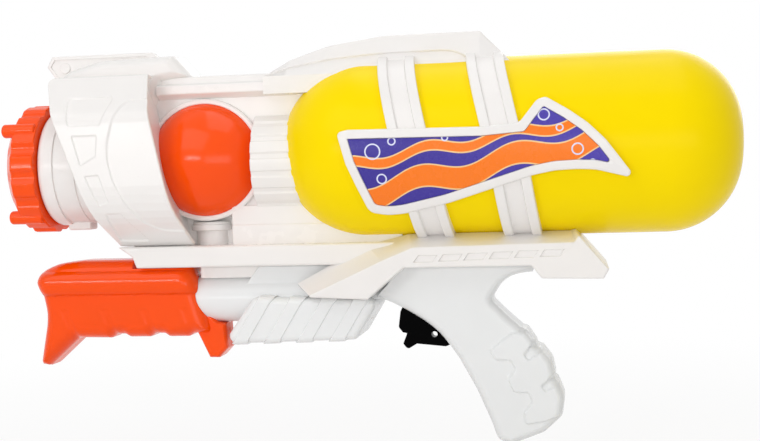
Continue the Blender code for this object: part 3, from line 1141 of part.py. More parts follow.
def make_pump_valve(looks, plug_r):
    """Valve body behind the cylinder, with an outlet in front of its inlet, and their rubber flaps."""
    centre = (0, 0, PUMP_Z)
    flange_front = PUMP_REAR_X + FIT
    body = turned("pump_valve_body", [(PUMP_REAR_X - VALVE_PLUG_LENGTH, plug_r), (flange_front, plug_r),
                                      (flange_front, PUMP_R), (VALVE_REAR_X, PUMP_R)], centre, "X",
                  PUMP_SEGMENTS)
    for x in (OUTLET_X, TANK_PORT_X):
        join(body, turned("spigot", [(PUMP_Z, SPIGOT_R), (SPIGOT_TOP_Z, SPIGOT_R)], (x, 0, 0), "Z", 12))
    room = FLAP_R + FIT
    chamber = PUMP_Z + room + FLAP_SEAT
    chamber_top = chamber + FLAP_THICKNESS + 2 * FIT
    back = PUMP_REAR_X - VALVE_PLUG_LENGTH - OVER
    cut(body, turned("bore", [(back, room), (TANK_PORT_X + room, room)], centre, "X", 14),
        turned("outlet_room", [(chamber, room), (chamber_top, room)], (OUTLET_X, 0, 0), "Z", 14))
    for x in (OUTLET_X, TANK_PORT_X):
        cut(body, turned("passage", [(PUMP_Z, SPIGOT_BORE_R), (TANK_Z, SPIGOT_BORE_R)], (x, 0, 0), "Z", 10))
    finish(body, looks["white"])
    seat = 0.5 * (OUTLET_X + TANK_PORT_X)
    disc = [(seat, FLAP_R), (seat + FLAP_THICKNESS, FLAP_R)]
    finish(turned("inlet_flap", disc, centre, "X", 14), looks["rubber"])
    disc = [(chamber + FIT, FLAP_R), (chamber + FIT + FLAP_THICKNESS, FLAP_R)]
    finish(turned("outlet_flap", disc, (OUTLET_X, 0, 0), "Z", 14), looks["rubber"])


def make_trigger(looks):
    """Trigger, its pin, and the valve that it opens."""
    pivot = (TRIGGER_PIVOT[0], 0, TRIGGER_PIVOT[1])
    trigger = plate("trigger", TRIGGER, RIGHT, -TRIGGER_HALF_WIDTH, TRIGGER_HALF_WIDTH)
    half, pin_room = TRIGGER_HALF_WIDTH + OVER, TRIGGER_PIN_R + FIT
    hole = (TRIGGER_HOLE[0], 0, TRIGGER_HOLE[1])
    cut(trigger, turned("pin_hole", [(-half, pin_room), (half, pin_room)], pivot, "Y", 12),
        turned("hole", [(-half, TRIGGER_HOLE_R), (half, TRIGGER_HOLE_R)], hole, "Y", 12))
    finish(trigger, looks["black"], pivot)
    pin = [(-TRIGGER_PIN_HALF_LENGTH, TRIGGER_PIN_R), (TRIGGER_PIN_HALF_LENGTH, TRIGGER_PIN_R)]
    finish(turned("trigger_pin", pin, pivot, "Y", 12), looks["steel"])

    centre = (0, 0, VALVE_Z)
    valve = turned("trigger_valve", [(VALVE_FRONT_X, VALVE_R), (VALVE_BACK_X, VALVE_R)], centre, "X", 20)
    spigot_top = VALVE_Z + VALVE_R + VALVE_SPIGOT_LENGTH
    for x in (VALVE_INLET_X, VALVE_OUTLET_X):
        join(valve, turned("spigot", [(VALVE_Z, SPIGOT_R), (spigot_top, SPIGOT_R)], (x, 0, 0), "Z", 12))
    bore = [(VALVE_FRONT_X - OVER, VALVE_BORE_R), (VALVE_INLET_X + VALVE_BORE_R, VALVE_BORE_R)]
    cut(valve, turned("bore", bore, centre, "X", 12))
    for x in (VALVE_INLET_X, VALVE_OUTLET_X):
        passage = [(VALVE_Z, SPIGOT_BORE_R), (spigot_top + OVER, SPIGOT_BORE_R)]
        cut(valve, turned("passage", passage, (x, 0, 0), "Z", 10))
    finish(valve, looks["white"])

    tip, neck = PLUNGER_TIP_X, PLUNGER_TIP_X + PLUNGER_HEAD_LENGTH
    end = tip + PLUNGER_LENGTH
    land, land_r = end - PLUNGER_LAND, VALVE_BORE_R - FIT
    plunger = [(tip, PLUNGER_HEAD_R), (neck, PLUNGER_HEAD_R), (neck, PLUNGER_STEM_R), (land, PLUNGER_STEM_R),
               (land, land_r), (end, land_r)]
    finish(turned("valve_plunger", plunger, centre, "X", 16), looks["white"], (tip, 0, VALVE_Z))
    make_spring(looks["steel"], neck + FIT + SPRING_WIRE_R, VALVE_FRONT_X - FIT - SPRING_WIRE_R)


def make_spring(look, start, end):
    """Coil spring round the plunger."""
    per_turn = 9
    steps = SPRING_TURNS * per_turn
    route = []
    for k in range(steps + 1):
        angle = 2 * math.pi * k / per_turn
        route.append(Vector((start + (end - start) * k / steps, SPRING_R * math.cos(angle),
                             VALVE_Z + SPRING_R * math.sin(angle))))
    pitch = min((b - a).length for a, b in zip(route, route[per_turn:]))
    print(f"valve_spring: least gap between turns {(pitch - 2 * SPRING_WIRE_R) * 1000:.2f} mm")
    finish(loft("valve_spring", swept_rings(route, SPRING_WIRE_R, 5)), look, smooth=80)


def make_hoses(look):
    """The four hoses, each pushed over the ports at its ends."""
    pump_top = PUMP_Z + PUMP_R + FIT
    tank_low = tank_bottom(TANK_PORT_X) - 2 * FIT
    hose("tank_hose", [(TANK_PORT_X, 0, tank_low), (TANK_PORT_X, 0, pump_top)], look)
    neck_face = NECK_BLOCK_X[1] + FIT
    valve_top = VALVE_Z + VALVE_R + FIT
    manifold_low = BORE_Z - MANIFOLD_STEM_R - FIT
    hose("charge_hose", [(OUTLET_X, 0, pump_top), *CHARGE_ROUTE, (neck_face, 0, LANE_Z)], look)
    hose("feed_hose", [(neck_face, LANE, LANE_Z), *FEED_ROUTE, (VALVE_INLET_X, 0, valve_top)], look)
    nozzle_ends = (VALVE_OUTLET_X, 0, valve_top), (MANIFOLD_PORT_X, 0, manifold_low)
    hose("nozzle_hose", [nozzle_ends[0], *NOZZLE_ROUTE, nozzle_ends[1]], look)


def make_looks():
    return {"white": material("warm_white_plastic", (0.86, 0.83, 0.79), 0.32),
            "cool_white": material("cool_white_plastic", (0.84, 0.85, 0.85), 0.30),
            "orange": material("orange_plastic", (1.0, 0.10, 0.012), 0.30),
            "yellow": material("yellow_plastic", (1.0, 0.70, 0.0), 0.28),
            "black": material("black_plastic", (0.008, 0.008, 0.009), 0.25),
            "label": material("printed_label", (0.075, 0.045, 0.42), 0.25),
            "rubber": material("black_rubber", (0.02, 0.02, 0.02), 0.7),
            "hose": material("clear_hose", (0.70, 0.74, 0.76), 0.35),
            "steel": material("plated_steel", (0.62, 0.62, 0.60), 0.30, 1.0)}


def main():
    start_empty()
    looks = make_looks()
    carriage = (PUMP_FRONT_X, 0, PUMP_Z)
    for side in (LEFT, RIGHT):
        make_housing(side, looks["white"])
        make_shroud(side, looks["white"])
        make_frame(side, looks["cool_white"])
        make_handle(side, looks["orange"], carriage)
    make_nozzle(looks)
    make_ball(looks)
    make_tank(looks)
    make_label(looks["label"])
    make_pump(looks, carriage)
    make_trigger(looks)
    make_hoses(looks["hose"])
    make_screws("housing_screw", HOUSING_SCREWS, looks["steel"])
    make_screws("frame_screw", FRAME_SCREWS, looks["steel"])
    make_screws("handle_screw", HANDLE_SCREWS, looks["steel"], carriage)


main()
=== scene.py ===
"""Looks of the water squirter: rounded meshes, moulded plastics, a printed label, a studio and a camera.

Metres, in the frame of the CAD part: the muzzle points to -X, the left side faces -Y and +Z is up. Half
mouldings are written with a depth d, counted outwards from the parting plane Y = 0.
"""
import json
import math

import bmesh
import bpy
import numpy as np
from mathutils import Matrix, Vector


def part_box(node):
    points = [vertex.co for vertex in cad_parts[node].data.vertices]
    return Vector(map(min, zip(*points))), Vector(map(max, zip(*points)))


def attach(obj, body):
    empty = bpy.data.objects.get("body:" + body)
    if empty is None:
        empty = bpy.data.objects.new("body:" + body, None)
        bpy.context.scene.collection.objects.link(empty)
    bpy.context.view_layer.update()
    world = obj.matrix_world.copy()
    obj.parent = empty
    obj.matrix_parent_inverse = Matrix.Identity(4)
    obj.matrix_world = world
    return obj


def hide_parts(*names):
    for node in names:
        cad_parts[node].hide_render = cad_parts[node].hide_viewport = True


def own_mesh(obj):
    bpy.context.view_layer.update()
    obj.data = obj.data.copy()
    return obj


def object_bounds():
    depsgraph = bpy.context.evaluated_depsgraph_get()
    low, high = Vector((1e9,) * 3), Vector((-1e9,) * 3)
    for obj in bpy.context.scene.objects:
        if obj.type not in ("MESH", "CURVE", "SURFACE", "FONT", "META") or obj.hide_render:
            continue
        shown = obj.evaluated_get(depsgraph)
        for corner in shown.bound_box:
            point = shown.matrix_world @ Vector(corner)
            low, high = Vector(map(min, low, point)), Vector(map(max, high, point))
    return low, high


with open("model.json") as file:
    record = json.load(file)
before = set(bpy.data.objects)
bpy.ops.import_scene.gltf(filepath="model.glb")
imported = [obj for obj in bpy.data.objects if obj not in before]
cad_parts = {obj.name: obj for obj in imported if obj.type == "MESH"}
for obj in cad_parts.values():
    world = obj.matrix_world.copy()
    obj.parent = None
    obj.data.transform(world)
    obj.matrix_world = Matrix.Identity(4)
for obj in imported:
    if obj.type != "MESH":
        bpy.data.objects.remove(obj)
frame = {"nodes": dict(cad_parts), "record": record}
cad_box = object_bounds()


def mm(*points):
    """Points given in millimetres."""
    return [tuple(value / 1000 for value in point) for point in points]


# Fits and fineness
LEFT, RIGHT = -1, 1
SEAM = 0.00015
SEAM_CHAMFER = 0.0002
FIT = 0.0003
ARC_STEP = math.radians(10)
ROUND_STEPS = 4
RULED_DOWN, RULED_ACROSS = 190, 110

# Tank
TANK_R = 0.0534
TANK_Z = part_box("water_tank")[1].z - TANK_R
TANK_TOP = TANK_Z + TANK_R
TANK_NOSE_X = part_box("water_tank")[0].x - 0.002
TANK_NOSE_LENGTH = 0.0549
TANK_TAIL_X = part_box("water_tank")[1].x
TANK_TAIL_RADIUS = 0.044
TANK_NOSE_STEPS, TANK_WALL_STEPS, TANK_TAIL_STEPS = 30, 14, 26
FILLER_X = 0.088
FILLER_NECK_R = 0.0125
FILLER_BORE_R = 0.0095
FILLER_NECK_LENGTH = 0.009
FILLER_THREADS = (0.4, 0.7)
FILLER_THREAD_R = 0.0007
FILLER_THREAD_SUNK = 0.0004
CAP_RIBS = 18
CAP_RIB_HEIGHT = 0.0008
CAP_PLAY = 0.0011
CAP_WALL = 0.0020
CAP_ROOF = 0.0028
CAP_RING = (0.0070, 0.0090)

# Nozzle line
BORE_Z = 0.1178
DIAL_R = 0.040
DIAL_FRONT_X = -0.2975
DIAL_BACK_X = -0.2773
DIAL_FACE_R = 0.031
DIAL_INNER_R = 0.0246
DIAL_WEB = 0.008
DIAL_CONE = 0.006
DIAL_SINK = 0.0036
DIAL_NUBS = 4
DIAL_NUB_R = 0.0042
DIAL_NUB_REACH = 0.0020
DIAL_NUB_ANGLE = math.radians(38)
DIAL_SCALLOP_R = 0.006
DIAL_SCALLOP_LEAN = math.radians(24)
DIAL_TOOTH_DEPTH = 0.0022
DIAL_SOFT = 0.0005
NOZZLE_CIRCLE_R = 0.0085
NOZZLE_BORES = (0.0008, 0.0012, 0.0015, 0.0019)
NOZZLE_BOSS_R = 0.0036
NOZZLE_BOSS_HEIGHT = 0.002
COLLAR_R = 0.036
COLLAR_ROUND = 0.004
COLLAR_STEP_X = -0.2665
COLLAR_STEP = 0.0012
COLLAR_BAND = 0.013
COLLAR_REAR_X = -0.230
COLLAR_BORE_R = 0.0123
LUG_FRONT_X, LUG_REAR_X = -0.270, -0.255
LUG_HALF_WIDTH = 0.006
LUG_DROP = 0.003

# Sphere and its neck
BALL_X = -0.1765
BALL_Z = BORE_Z + 0.0022
BALL_R = 0.0375
BALL_STEPS = 72
LIP_WIDTH = 0.0032
LIP_DEPTH = 0.0165
LIP_ROOT = 0.004
BALL_FLANGE_R = 0.014
BALL_FLANGE_HEIGHT = 0.0055
BALL_BRIM_HEIGHT = 0.0036
BALL_NECK_R = 0.0112

# Front drum and its shroud
SHROUD_WALL = 0.0025
SHROUD_HALF_WIDTH = 0.050
SHROUD_TOP_RISE = 0.0545
SHROUD_SIDE_TOP, SHROUD_SIDE_LOW = 0.030, -0.027
SHROUD_SHARES = (0.48, 0.62, 0.36)
SHROUD_FRONT = ((-0.2692, BORE_Z + 0.0545), (-0.2310, BORE_Z - 0.0501))
SHROUD_REAR = ((-0.2055, BORE_Z + 0.0545), (-0.1841, BORE_Z - 0.0501))
SHROUD_RELIEF = 0.0008
SHROUD_RELIEF_WIDTH = 0.0006
SHROUD_EDGE = 0.0009
SHROUD_CORNER = 0.0045
SHROUD_GRID = 0.0005
SHROUD_SPAN = 0.06
DRUM_FRONT_INSET = 0.007
DRUM_REAR_INSET = 0.005
HOOD_HALF_WIDTH = 0.020
HOOD_EDGE = 0.0062
HOOD_FALL = 0.0105

# Rails, web and cradle
RAIL_BOTTOM_Z = 0.055
RAIL_TOP_Z = 0.068
BURIED_Z = RAIL_TOP_Z - 0.002
RAIL_HALF_WIDTH = 0.024
KEEL_HALF_WIDTH = 0.010
KEEL_RISE = 0.0132
KEEL_FRONT_X, KEEL_REAR_X = -0.1835, -0.145
LEDGE_HALF_WIDTH = 0.017
LEDGE_TOP_Z = RAIL_TOP_Z + 0.0135
LEDGE_FRONT_X, LEDGE_REAR_X = BALL_X + BALL_FLANGE_R + 0.002, -0.0560
SADDLE_Z = LEDGE_TOP_Z - 0.002
SADDLE_HEIGHT = 0.012
WEB_HALF_WIDTH = 0.0135
WEB_FRONT_X, WEB_REAR_X = -0.212, -0.100
WEB_FLOOR_SHARE = 0.90
THIN_WEB_HALF_WIDTH = 0.005
THIN_WEB_FRONT_X = -0.205
TOP_RAIL_HALF_WIDTH = 0.019
TOP_RAIL_Z = BORE_Z + 0.0532
TOP_RAIL_BASE = 0.036
TOP_RAIL_STEP = 0.003
TOP_RAIL_FRONT_X, TOP_RAIL_REAR_X = -0.2050, -0.1180
NECK_R = 0.0315
NECK_FRONT_X, NECK_REAR_X = -0.1445, -0.0900
SADDLE_HALF_WIDTH = 0.0163
NECK_FLUTES = 9
NECK_FLUTE_DEPTH = 0.0011
NECK_RIDGE = (0.02, 0.17, 0.32, 0.46, 0.60)
NECK_VALLEY = (0.70, 0.81, 0.92)
STRAP_HEIGHT = 0.0042
STRAP_FLOOR = 0.0022
STRAP_WIDTH = 0.0218
STRAP_RAIL = 0.0055
STRAP_STEPS = 48
STRAP_TOP_ANGLE = math.radians(72)
STRAP_LOW_ANGLE = math.radians(-78)
BADGE_HEIGHT = 0.0060
BADGE_RIM = 0.0052
BADGE_EDGE = 0.0010
LABEL_HEIGHT = 0.0050
LABEL_THICKNESS = 0.0004
LABEL_STRIP = 0.0016
LABEL_CUTS = range(-24, 16)
BEAM_HALF_WIDTH = 0.0225
BEAM_CROWN = 0.012
BEAM_BASE = -0.0075
BEAM_BURIED = -0.018
BEAM_STEP = 0.0014
BEAM_STEP_SHARE = 0.52
BEAM_STEP_END = (-0.030, -0.012)
BEAM_RAMP_STEPS = 16
SKIRT_HALF_WIDTH = 0.034
SKIRT_CROWN_HALF_WIDTH = 0.020
SKIRT_EDGE = 0.0012
SKIRT_SLOTS = 6
SKIRT_SLOT_PITCH = 0.0146
SKIRT_SLOT_WIDTH = 0.0115
SKIRT_SLOT_HEIGHT = 0.0042
SKIRT_SLOT_LEAN = 0.7 * SKIRT_SLOT_HEIGHT
SKIRT_SLOT_DEPTH = 0.0012
SKIRT_SLOT_RISE = 0.0004
SKIRT_SLOT_START = (-0.0480, 0.0562)

# Pump, grip and trigger
PUMP_Z = 0.034
PUMP_R = 0.0145
PUMP_BORE_R = 0.0122
PUMP_FRONT_X = -0.272
PUMP_REAR_X = -0.102
BLOCK_HALF_WIDTH = 0.0235
BLOCK_RIBS = 4
BLOCK_EDGE = 0.0040
BLOCK_RIB_HEIGHT = 0.0010
BLOCK_RIB_X = -0.1435
BLOCK_RIB_PITCH = 0.0197
CORE_HALF_WIDTH = 0.0110
HANDLE_SIDE_WIDTH = 0.0172
HANDLE_GROOVE_DEPTH = 0.0005
GRIP_HALF_WIDTH = 0.0168
GRIP_PAD_HEIGHT = 0.0014
TRIGGER_HALF_WIDTH = 0.004
TRIGGER_HOLE = (-0.040, 0.0105)
TRIGGER_HOLE_R = 0.0018

# Screws
SCREW_R = 0.0014
SCREW_HEAD_R = 0.0028
SCREW_HEAD_LENGTH = 0.002
SCREW_CROSS = (0.0017, 0.00035)
SCREW_SEAT = 0.006
WELL_R = 0.0034
WELL_END = 0.07
HOUSING_SCREWS = ((-0.2215, BORE_Z + 0.040), (-0.160, BORE_Z + 0.046), (-0.035, TANK_TOP + 0.0072),
                  (-0.137, 0.0745), (-0.205, 0.0775), (0.046, 0.0575))
FRAME_SCREWS = ((-0.148, PUMP_Z - 0.0195), (-0.093, PUMP_Z - 0.0195), (0.0040, -0.0040), (0.0100, -0.0420))
HANDLE_SCREWS = ((-0.2790, PUMP_Z - 0.0300), (-0.1757, PUMP_Z - 0.0255))

# Outlines as (x, z) or (x, z, corner radius), with mm around those given in millimetres
HOOD = mm((-270, 30), (-274, 50, 4), (-262, 60, 12), (-242, 65.5, 20), (-195, 66.7, 2), (-182.6, 52.5, 1),
          (-201, 50), (-208, 30))
FIN = mm((-277.3, 70.3, 1.2), (-280.8, 63.9, 1.2), (-274.5, 55.1), (-270, 45), (-200, 45),
         (-208.5, 67.4, 1), (-211.9, 70.3, 1))
FIN_PANEL = mm((-275.8, 68.2, 0.6), (-278.4, 63.9, 0.6), (-271.5, 54), (-271.5, 47), (-212, 47),
               (-212, 65, 1), (-215, 68.2, 1))
FIN_HALF_WIDTH = 0.004
FIN_PANEL_DEPTH = 0.0009
FIN_BOSS = (-0.2690, 0.0628)
FIN_BOSS_R = 0.0033
RAIL = [(-0.2310, RAIL_TOP_Z), (-0.2224, RAIL_BOTTOM_Z + 0.0069, 0.002), (-0.2198, RAIL_BOTTOM_Z, 0.001),
        (-0.0600, RAIL_BOTTOM_Z), (-0.0600, RAIL_TOP_Z)]
BEAM_TOP = mm((-137.1, -5.8), (-122.5, 2.3, 20), (-98.1, 10, 40), (-65, 14.5, 50), (-7.4, 14.9, 0.8),
              (13.5, -7.1))
SKIRT = mm((-113.4, 36.9, 1), (-75.7, 34.9, 1), (-53.9, 53.2, 2), (20.3, 53.1, 2), (26.1, 45.7, 2),
           (61.1, 45, 1), (64.3, 50.6, 1), (47.6, 70.5, 1), (44.9, 66.6, 1), (-48.3, 65.4, 4),
           (-67.3, 57.8, 8))
SKIRT_CROWN = dict(zip((0, 7, 8, 9, 10), mm((-122, 43, 1), (45.5, 73.5, 1), (43, 72.2, 1), (-52, 72.2, 4),
                                            (-78, 66, 8))))
BADGE = mm((-86.5, 9.5, 3), (-80, 10.8), (-5, 10), (16.5, 11.5, 6), (26.2, 24, 6), (31, 25.7, 4),
           (43.8, 17.7, 30), (53.9, 10.2, 30), (63.3, 0.8, 30), (79.6, -21.4, 2.2), (57.6, -15.6, 30),
           (47.4, -15.1, 30), (35.4, -15.5, 30), (23.3, -17.7, 40), (-25, -32.3, 60), (-51, -37.8, 40),
           (-60.5, -38.3, 20), (-70.5, -36.5, 6), (-76.4, -21.7), (-81.7, -8.6))
UPPER_STRAPS = ((-0.0573, TANK_R, -0.0455, 0.0050), (-0.0053, TANK_R, 0.0065, 0.0050))
LOWER_STRAPS = ((-0.0385, -0.0300, -0.0340, -0.0560), (0.0100, -0.0100, 0.0166, -0.0560))
SHROUD_WINDOWS = (mm((-252.1, 41.2, 2), (-222.7, 41.6, 2), (-229.8, 23.6, 2), (-250, 23.8, 2)),
                  mm((-247.9, 18.4, 1), (-231.6, 18.4, 1), (-232.7, 5.5, 1), (-242.9, -0.1, 1)),
                  mm((-240.6, -5.5, 1), (-231.3, -5.2, 1), (-226.2, -21.5, 1), (-233, -24, 1)),
                  mm((-170, 39.8), (-203, 39.6, 20), (-214, 38.7, 10), (-218.6, 34.5, 10),
                     (-222.2, 27.4, 14), (-225.9, 14.1, 20), (-226.3, 3.5, 20), (-223.6, -8.4, 30),
                     (-218.1, -20.3, 30), (-210.5, -33.5, 20), (-200, -39.8, 12), (-170, -42)),
                  mm((-230.3, -28.4, 0.8), (-220.4, -28.6, 0.8), (-210.1, -46.5, 0.8),
                     (-229.2, -46.1, 0.8)))
BLOCK = mm((-147.5, 2.4, 6), (-164.1, -21.2, 4), (-160.9, -25.8, 3), (-85, -24.1, 4), (-70.3, -0.4, 4))
BLOCK_RIB = mm((2.6, 6), (-20.5, -31), (-12, -31), (11.1, 6))
CORE_TOP_Z = RAIL_BOTTOM_Z - FIT
CORE = [(-0.1580, PUMP_Z + 0.0050, 0.002), (-0.1460, CORE_TOP_Z), (-0.0640, CORE_TOP_Z),
        (-0.0640, PUMP_Z - 0.0020)]
GRIP_FRONT = mm((-73.4, 34.4), (-64, 30.6, 50), (-54.7, 25.7, 50), (-45.5, 20, 50), (-36.4, 12.9, 50),
                (-25.6, -1.5, 60), (-14.9, -21.3, 80), (-6.2, -41.8, 50), (-2.8, -52, 6), (2.6, -53.9))
GRIP_BACK = mm((20.5, 48), (13.6, 47.4, 20), (7.1, 45.7, 12), (1.5, 41.7, 12), (-4.7, 32, 3),
               (4.7, 22.7, 20), (13.2, 14.9, 2), (16, 14.3, 3), (21.2, 6.5, 3), (21.6, 4, 0.6),
               (25, 3, 2), (30.6, -4.5, 8), (32.2, -12.5, 3), (31.6, -14.9, 0.6), (33.8, -17, 3),
               (37.4, -26.1, 8), (35.6, -37.6, 6), (24.9, -47.4, 8), (5.3, -54.8, 6), (3.2, -54.1))
GRIP_TOP = mm((-57, 56.6), (-66, 42))
GRIP_TOP_REAR = (0.0205, 0.0566)
GRIP_EDGE = 0.0050
GRIP_FALL = 0.0085
GRIP_PAD_EDGE = 0.0009
GRIP_PAD = mm((-6.8, 2.1, 2), (-2.9, -3.6, 2), (5.7, -4, 2), (8.5, -8.5, 2), (3.7, -14.7, 2),
              (7.6, -23, 2), (15.8, -23, 2), (18, -28.4, 2), (12.5, -34.9, 2), (14.1, -42, 2),
              (25.3, -40.2, 10), (35.8, -36.8, 6), (37.4, -26.1, 6), (32.9, -17.5, 3), (26.2, -21.6, 1),
              (24.2, -19.6, 1), (31.8, -12.5, 3), (30.2, -4, 6), (24.7, 2.5, 3), (16.5, -3.5, 1),
              (14.5, -0.5, 1), (20.5, 7, 3), (15, 14, 5), (6, 12, 4))
TRIGGER = mm((-49, 47, 5), (-57.5, 31), (-60.6, 24.5), (-61.9, 15, 2), (-59.4, 11.7, 1),
             (-56.8, 11.3, 0.6), (-59.4, 4.9, 1), (-56.7, 1.4, 2), (-51, 4.8, 1), (-33.4, 3, 1),
             (-29, 4.7, 1), (-27.5, 8), (-31.7, 24), (-31.7, 32), (-36, 47, 5))
TRIGGER_SLOT = mm((-80, 49), (-80, 0.5), (-32, 0.5), (-18, 4), (-18, 21.5), (-28, 49))
HANDLE_TOP = mm((-195.5, 25.8), (-260, 25.8, 30), (-276.3, 24.1, 30), (-286.6, 19.5, 12), (-289.2, 13, 6),
                (-286.6, 5, 12), (-284.3, -7.1, 30), (-285, -14.7, 30), (-289.2, -36.9, 2), (-288, -39.5))
HANDLE_LOW = mm((-190.6, 24), (-186.1, 14.3, 4), (-176.5, -20.7, 3), (-188.9, -20.7, 2),
                (-192.5, -22.7, 2), (-204.6, -22.7, 2), (-207.8, -20.6, 2), (-214.3, -20.6, 2),
                (-217.2, -22.7, 2), (-230.1, -22.7, 2), (-233.3, -20.8, 2), (-239.3, -20.8, 2),
                (-242.6, -23.2, 2), (-264.2, -22.8, 2), (-284, -40.2))
HANDLE_STEP = (-0.2250, 0.0204)
HANDLE_EDGE = 0.0080
HANDLE_FALL = 0.0110
HANDLE_BULGE = 0.0038
HANDLE_BULGE_RISE = 0.0118
HANDLE_BULGE_HALF = 0.0072
HANDLE_LEG = mm((-178.7, -9), (-174, -13.9), (-169, -15, 1), (-167.8, -30, 2), (-173.6, -36.1, 1),
                (-179.6, -36, 1), (-186.8, -20.7, 2), (-189, -12))
HANDLE_LEG_HALF_WIDTH = 0.0105
HANDLE_GROOVES = 4
HANDLE_GROOVE = mm((0, -3.5), (6.8, -3.5), (15.2, -26), (9.2, -26))
HANDLE_GROOVE_X = -0.2742
HANDLE_GROOVE_PITCH = 0.0258
HANDLE_GROOVE_EDGE = 0.0024

# Camera, read from the photograph's perspective
VIEW_TARGET = Vector((-0.072, 0.0, 0.080))
VIEW_DISTANCE = 0.760
VIEW_YAW = math.radians(9)
VIEW_ELEVATION = math.radians(2)
VIEW_ROLL = math.radians(1.7)
VIEW_LENS = 59.0
SENSOR_WIDTH = 36.0

# Plastics as a slot's colour, roughness, gloss and tone of worn edges
PLASTICS = {"warm_white": ((0.87, 0.845, 0.825), 0.22, 0.24, 1.05),
            "cool_white": ((0.83, 0.84, 0.84), 0.20, 0.24, 1.05),
            "orange": ((0.98, 0.079, 0.000), 0.15, 0.24, 1.3),
            "yellow": ((1.0, 0.735, 0.000), 0.24, 0.06, 1.1),
            "black": ((0.0003, 0.0003, 0.0004), 0.25, 0.03, 6.0)}
RUBBER_TONE = (0.02, 0.02, 0.02)

# Label print: waves as (level, tilt, height, length, half width) and bubbles as (x, z, radius)
LABEL_WAVES = ((-0.0115, 0.21, 0.0034, 0.054, 0.0058), (0.0035, 0.16, 0.0026, 0.047, 0.0024))
LABEL_BUBBLES = mm((-66, -2, 4.2), (-55, 3.5, 2), (-61.5, -17.5, 2.6), (30, 15.5, 3), (38.5, 8, 1.8),
                   (48, -4, 3), (-25, 4.5, 1.6), (56, -11.5, 1.5))

# Studio, with lights as (name, place, size, power)
LIGHTS = (("key", (-0.60, -1.00, 0.95), (1.2, 0.9), 4.6),
          ("top", (0.10, 0.05, 1.25), (1.4, 0.8), 4.9),
          ("fill", (0.45, -1.20, 0.12), (1.2, 0.3), 2.6),
          ("strip", (-0.56, -1.10, 0.20), (0.55, 0.05), 2.2),
          ("back", (0.20, 1.10, 0.60), (1.2, 0.8), 3.0))
WORLD_STRENGTH = 0.40
FLOOR_HALF_SIZE = 6.0
FLOOR_DROP = 0.02
FLOOR_FADE = (0.2, 0.7)
FLOOR_WHITE = (0.86, 1.0)


def rounded(corners, closed=True, steps=None):
    """Outline whose corners (x, z, radius) become arcs."""
    points = []
    last = len(corners) - 1
    for i, corner in enumerate(corners):
        here = Vector(corner[:2])
        radius = corner[2] if len(corner) > 2 else 0.0
        if radius == 0.0 or (not closed and i in (0, last)):
            points.append(tuple(here))
            continue
        back = Vector(corners[i - 1][:2]) - here
        ahead = Vector(corners[(i + 1) % len(corners)][:2]) - here
        half = back.angle(ahead) / 2
        cut = min(radius / math.tan(half), 0.45 * back.length, 0.45 * ahead.length)
        bisector = (back.normalized() + ahead.normalized()).normalized()
        centre = here + bisector * (cut / math.cos(half))
        first = here + back.normalized() * cut - centre
        final = here + ahead.normalized() * cut - centre
        start = math.atan2(first.y, first.x)
        sweep = (math.atan2(final.y, final.x) - start + math.pi) % (2 * math.pi) - math.pi
        count = steps or max(2, round(abs(sweep) / ARC_STEP))
        points += arc(centre, first.length, start, start + sweep, count)
    return points


def offset(points, distance, closed=True):
    """Move an outline sideways: inwards when it is closed, to its right when it is open."""
    count = len(points)
    turn = 1.0
    if closed:
        area = sum(points[i - 1][0] * points[i][1] - points[i][0] * points[i - 1][1] for i in range(count))
        turn = -math.copysign(1.0, area)
    moved = []
    for i, point in enumerate(points):
        normals = []
        if closed or i > 0:
            normals.append(Vector(point) - Vector(points[i - 1]))
        if closed or i < count - 1:
            normals.append(Vector(points[(i + 1) % count]) - Vector(point))
        normals = [Vector((n.y, -n.x)).normalized() for n in normals]
        total = sum(normals, Vector((0, 0))).normalized()
        reach = turn * distance / max(0.3, total.dot(normals[0]))
        moved.append((point[0] + total.x * reach, point[1] + total.y * reach))
    return moved


def inset(corners, distance):
    """Move an outline's corners inwards and reduce their radii to suit."""
    made = []
    for spot, corner in zip(offset([corner[:2] for corner in corners], distance), corners):
        made.append((*spot, *(max(r - distance, 0.5 * r) for r in corner[2:])))
    return made


def lifted(outline, dz, dx=0.0):
    """Shift an outline, keeping its corner radii."""
    return [(p[0] + dx, p[1] + dz, *p[2:]) for p in outline]


def rect(x0, z0, x1, z1, foot=0.0):
    """Corners of an upright rectangle, with its lower corners rounded."""
    return [(x0, z0, foot), (x1, z0, foot), (x1, z1), (x0, z1)]


def arc(centre, radius, start, end, steps):
    """Points on an arc between two angles."""
    angles = [start + (end - start) * k / steps for k in range(steps + 1)]
    return [(centre[0] + radius * math.cos(a), centre[1] + radius * math.sin(a)) for a in angles]


def skin(bm, rings, closed=False):
    """Skin a row of rings. A ring of one point is a pole. A closed row joins its last ring to its first."""
    loops = [[bm.verts.new(point) for point in ring] for ring in rings]
    pairs = list(zip(loops, loops[1:]))
    if closed:
        pairs.append((loops[-1], loops[0]))
    for lower, upper in pairs:
        count = max(len(lower), len(upper))
        for i in range(count):
            j = (i + 1) % count
            corners = [lower[i % len(lower)], lower[j % len(lower)]]
            corners += [upper[j % len(upper)], upper[i % len(upper)]]
            bm.faces.new(list(dict.fromkeys(corners)))
    if not closed:
        for end in (loops[0], loops[-1]):
            if len(end) > 1:
                bm.faces.new(end)


def layered(bm, side, levels, steps=None):
    """Skin outlines that lie at depths from the parting plane."""
    skin(bm, [[(x, side * depth, z) for x, z in rounded(outline, steps=steps)] for depth, outline in levels])


def quarter(depth, shrink, steps):
    """Levels (step back, shrink) of an edge rounded as a quarter ellipse."""
    turns = [math.pi / 2 * k / steps for k in range(steps + 1)]
    return [(depth * (1 - math.sin(a)), shrink * (1 - math.cos(a))) for a in turns]


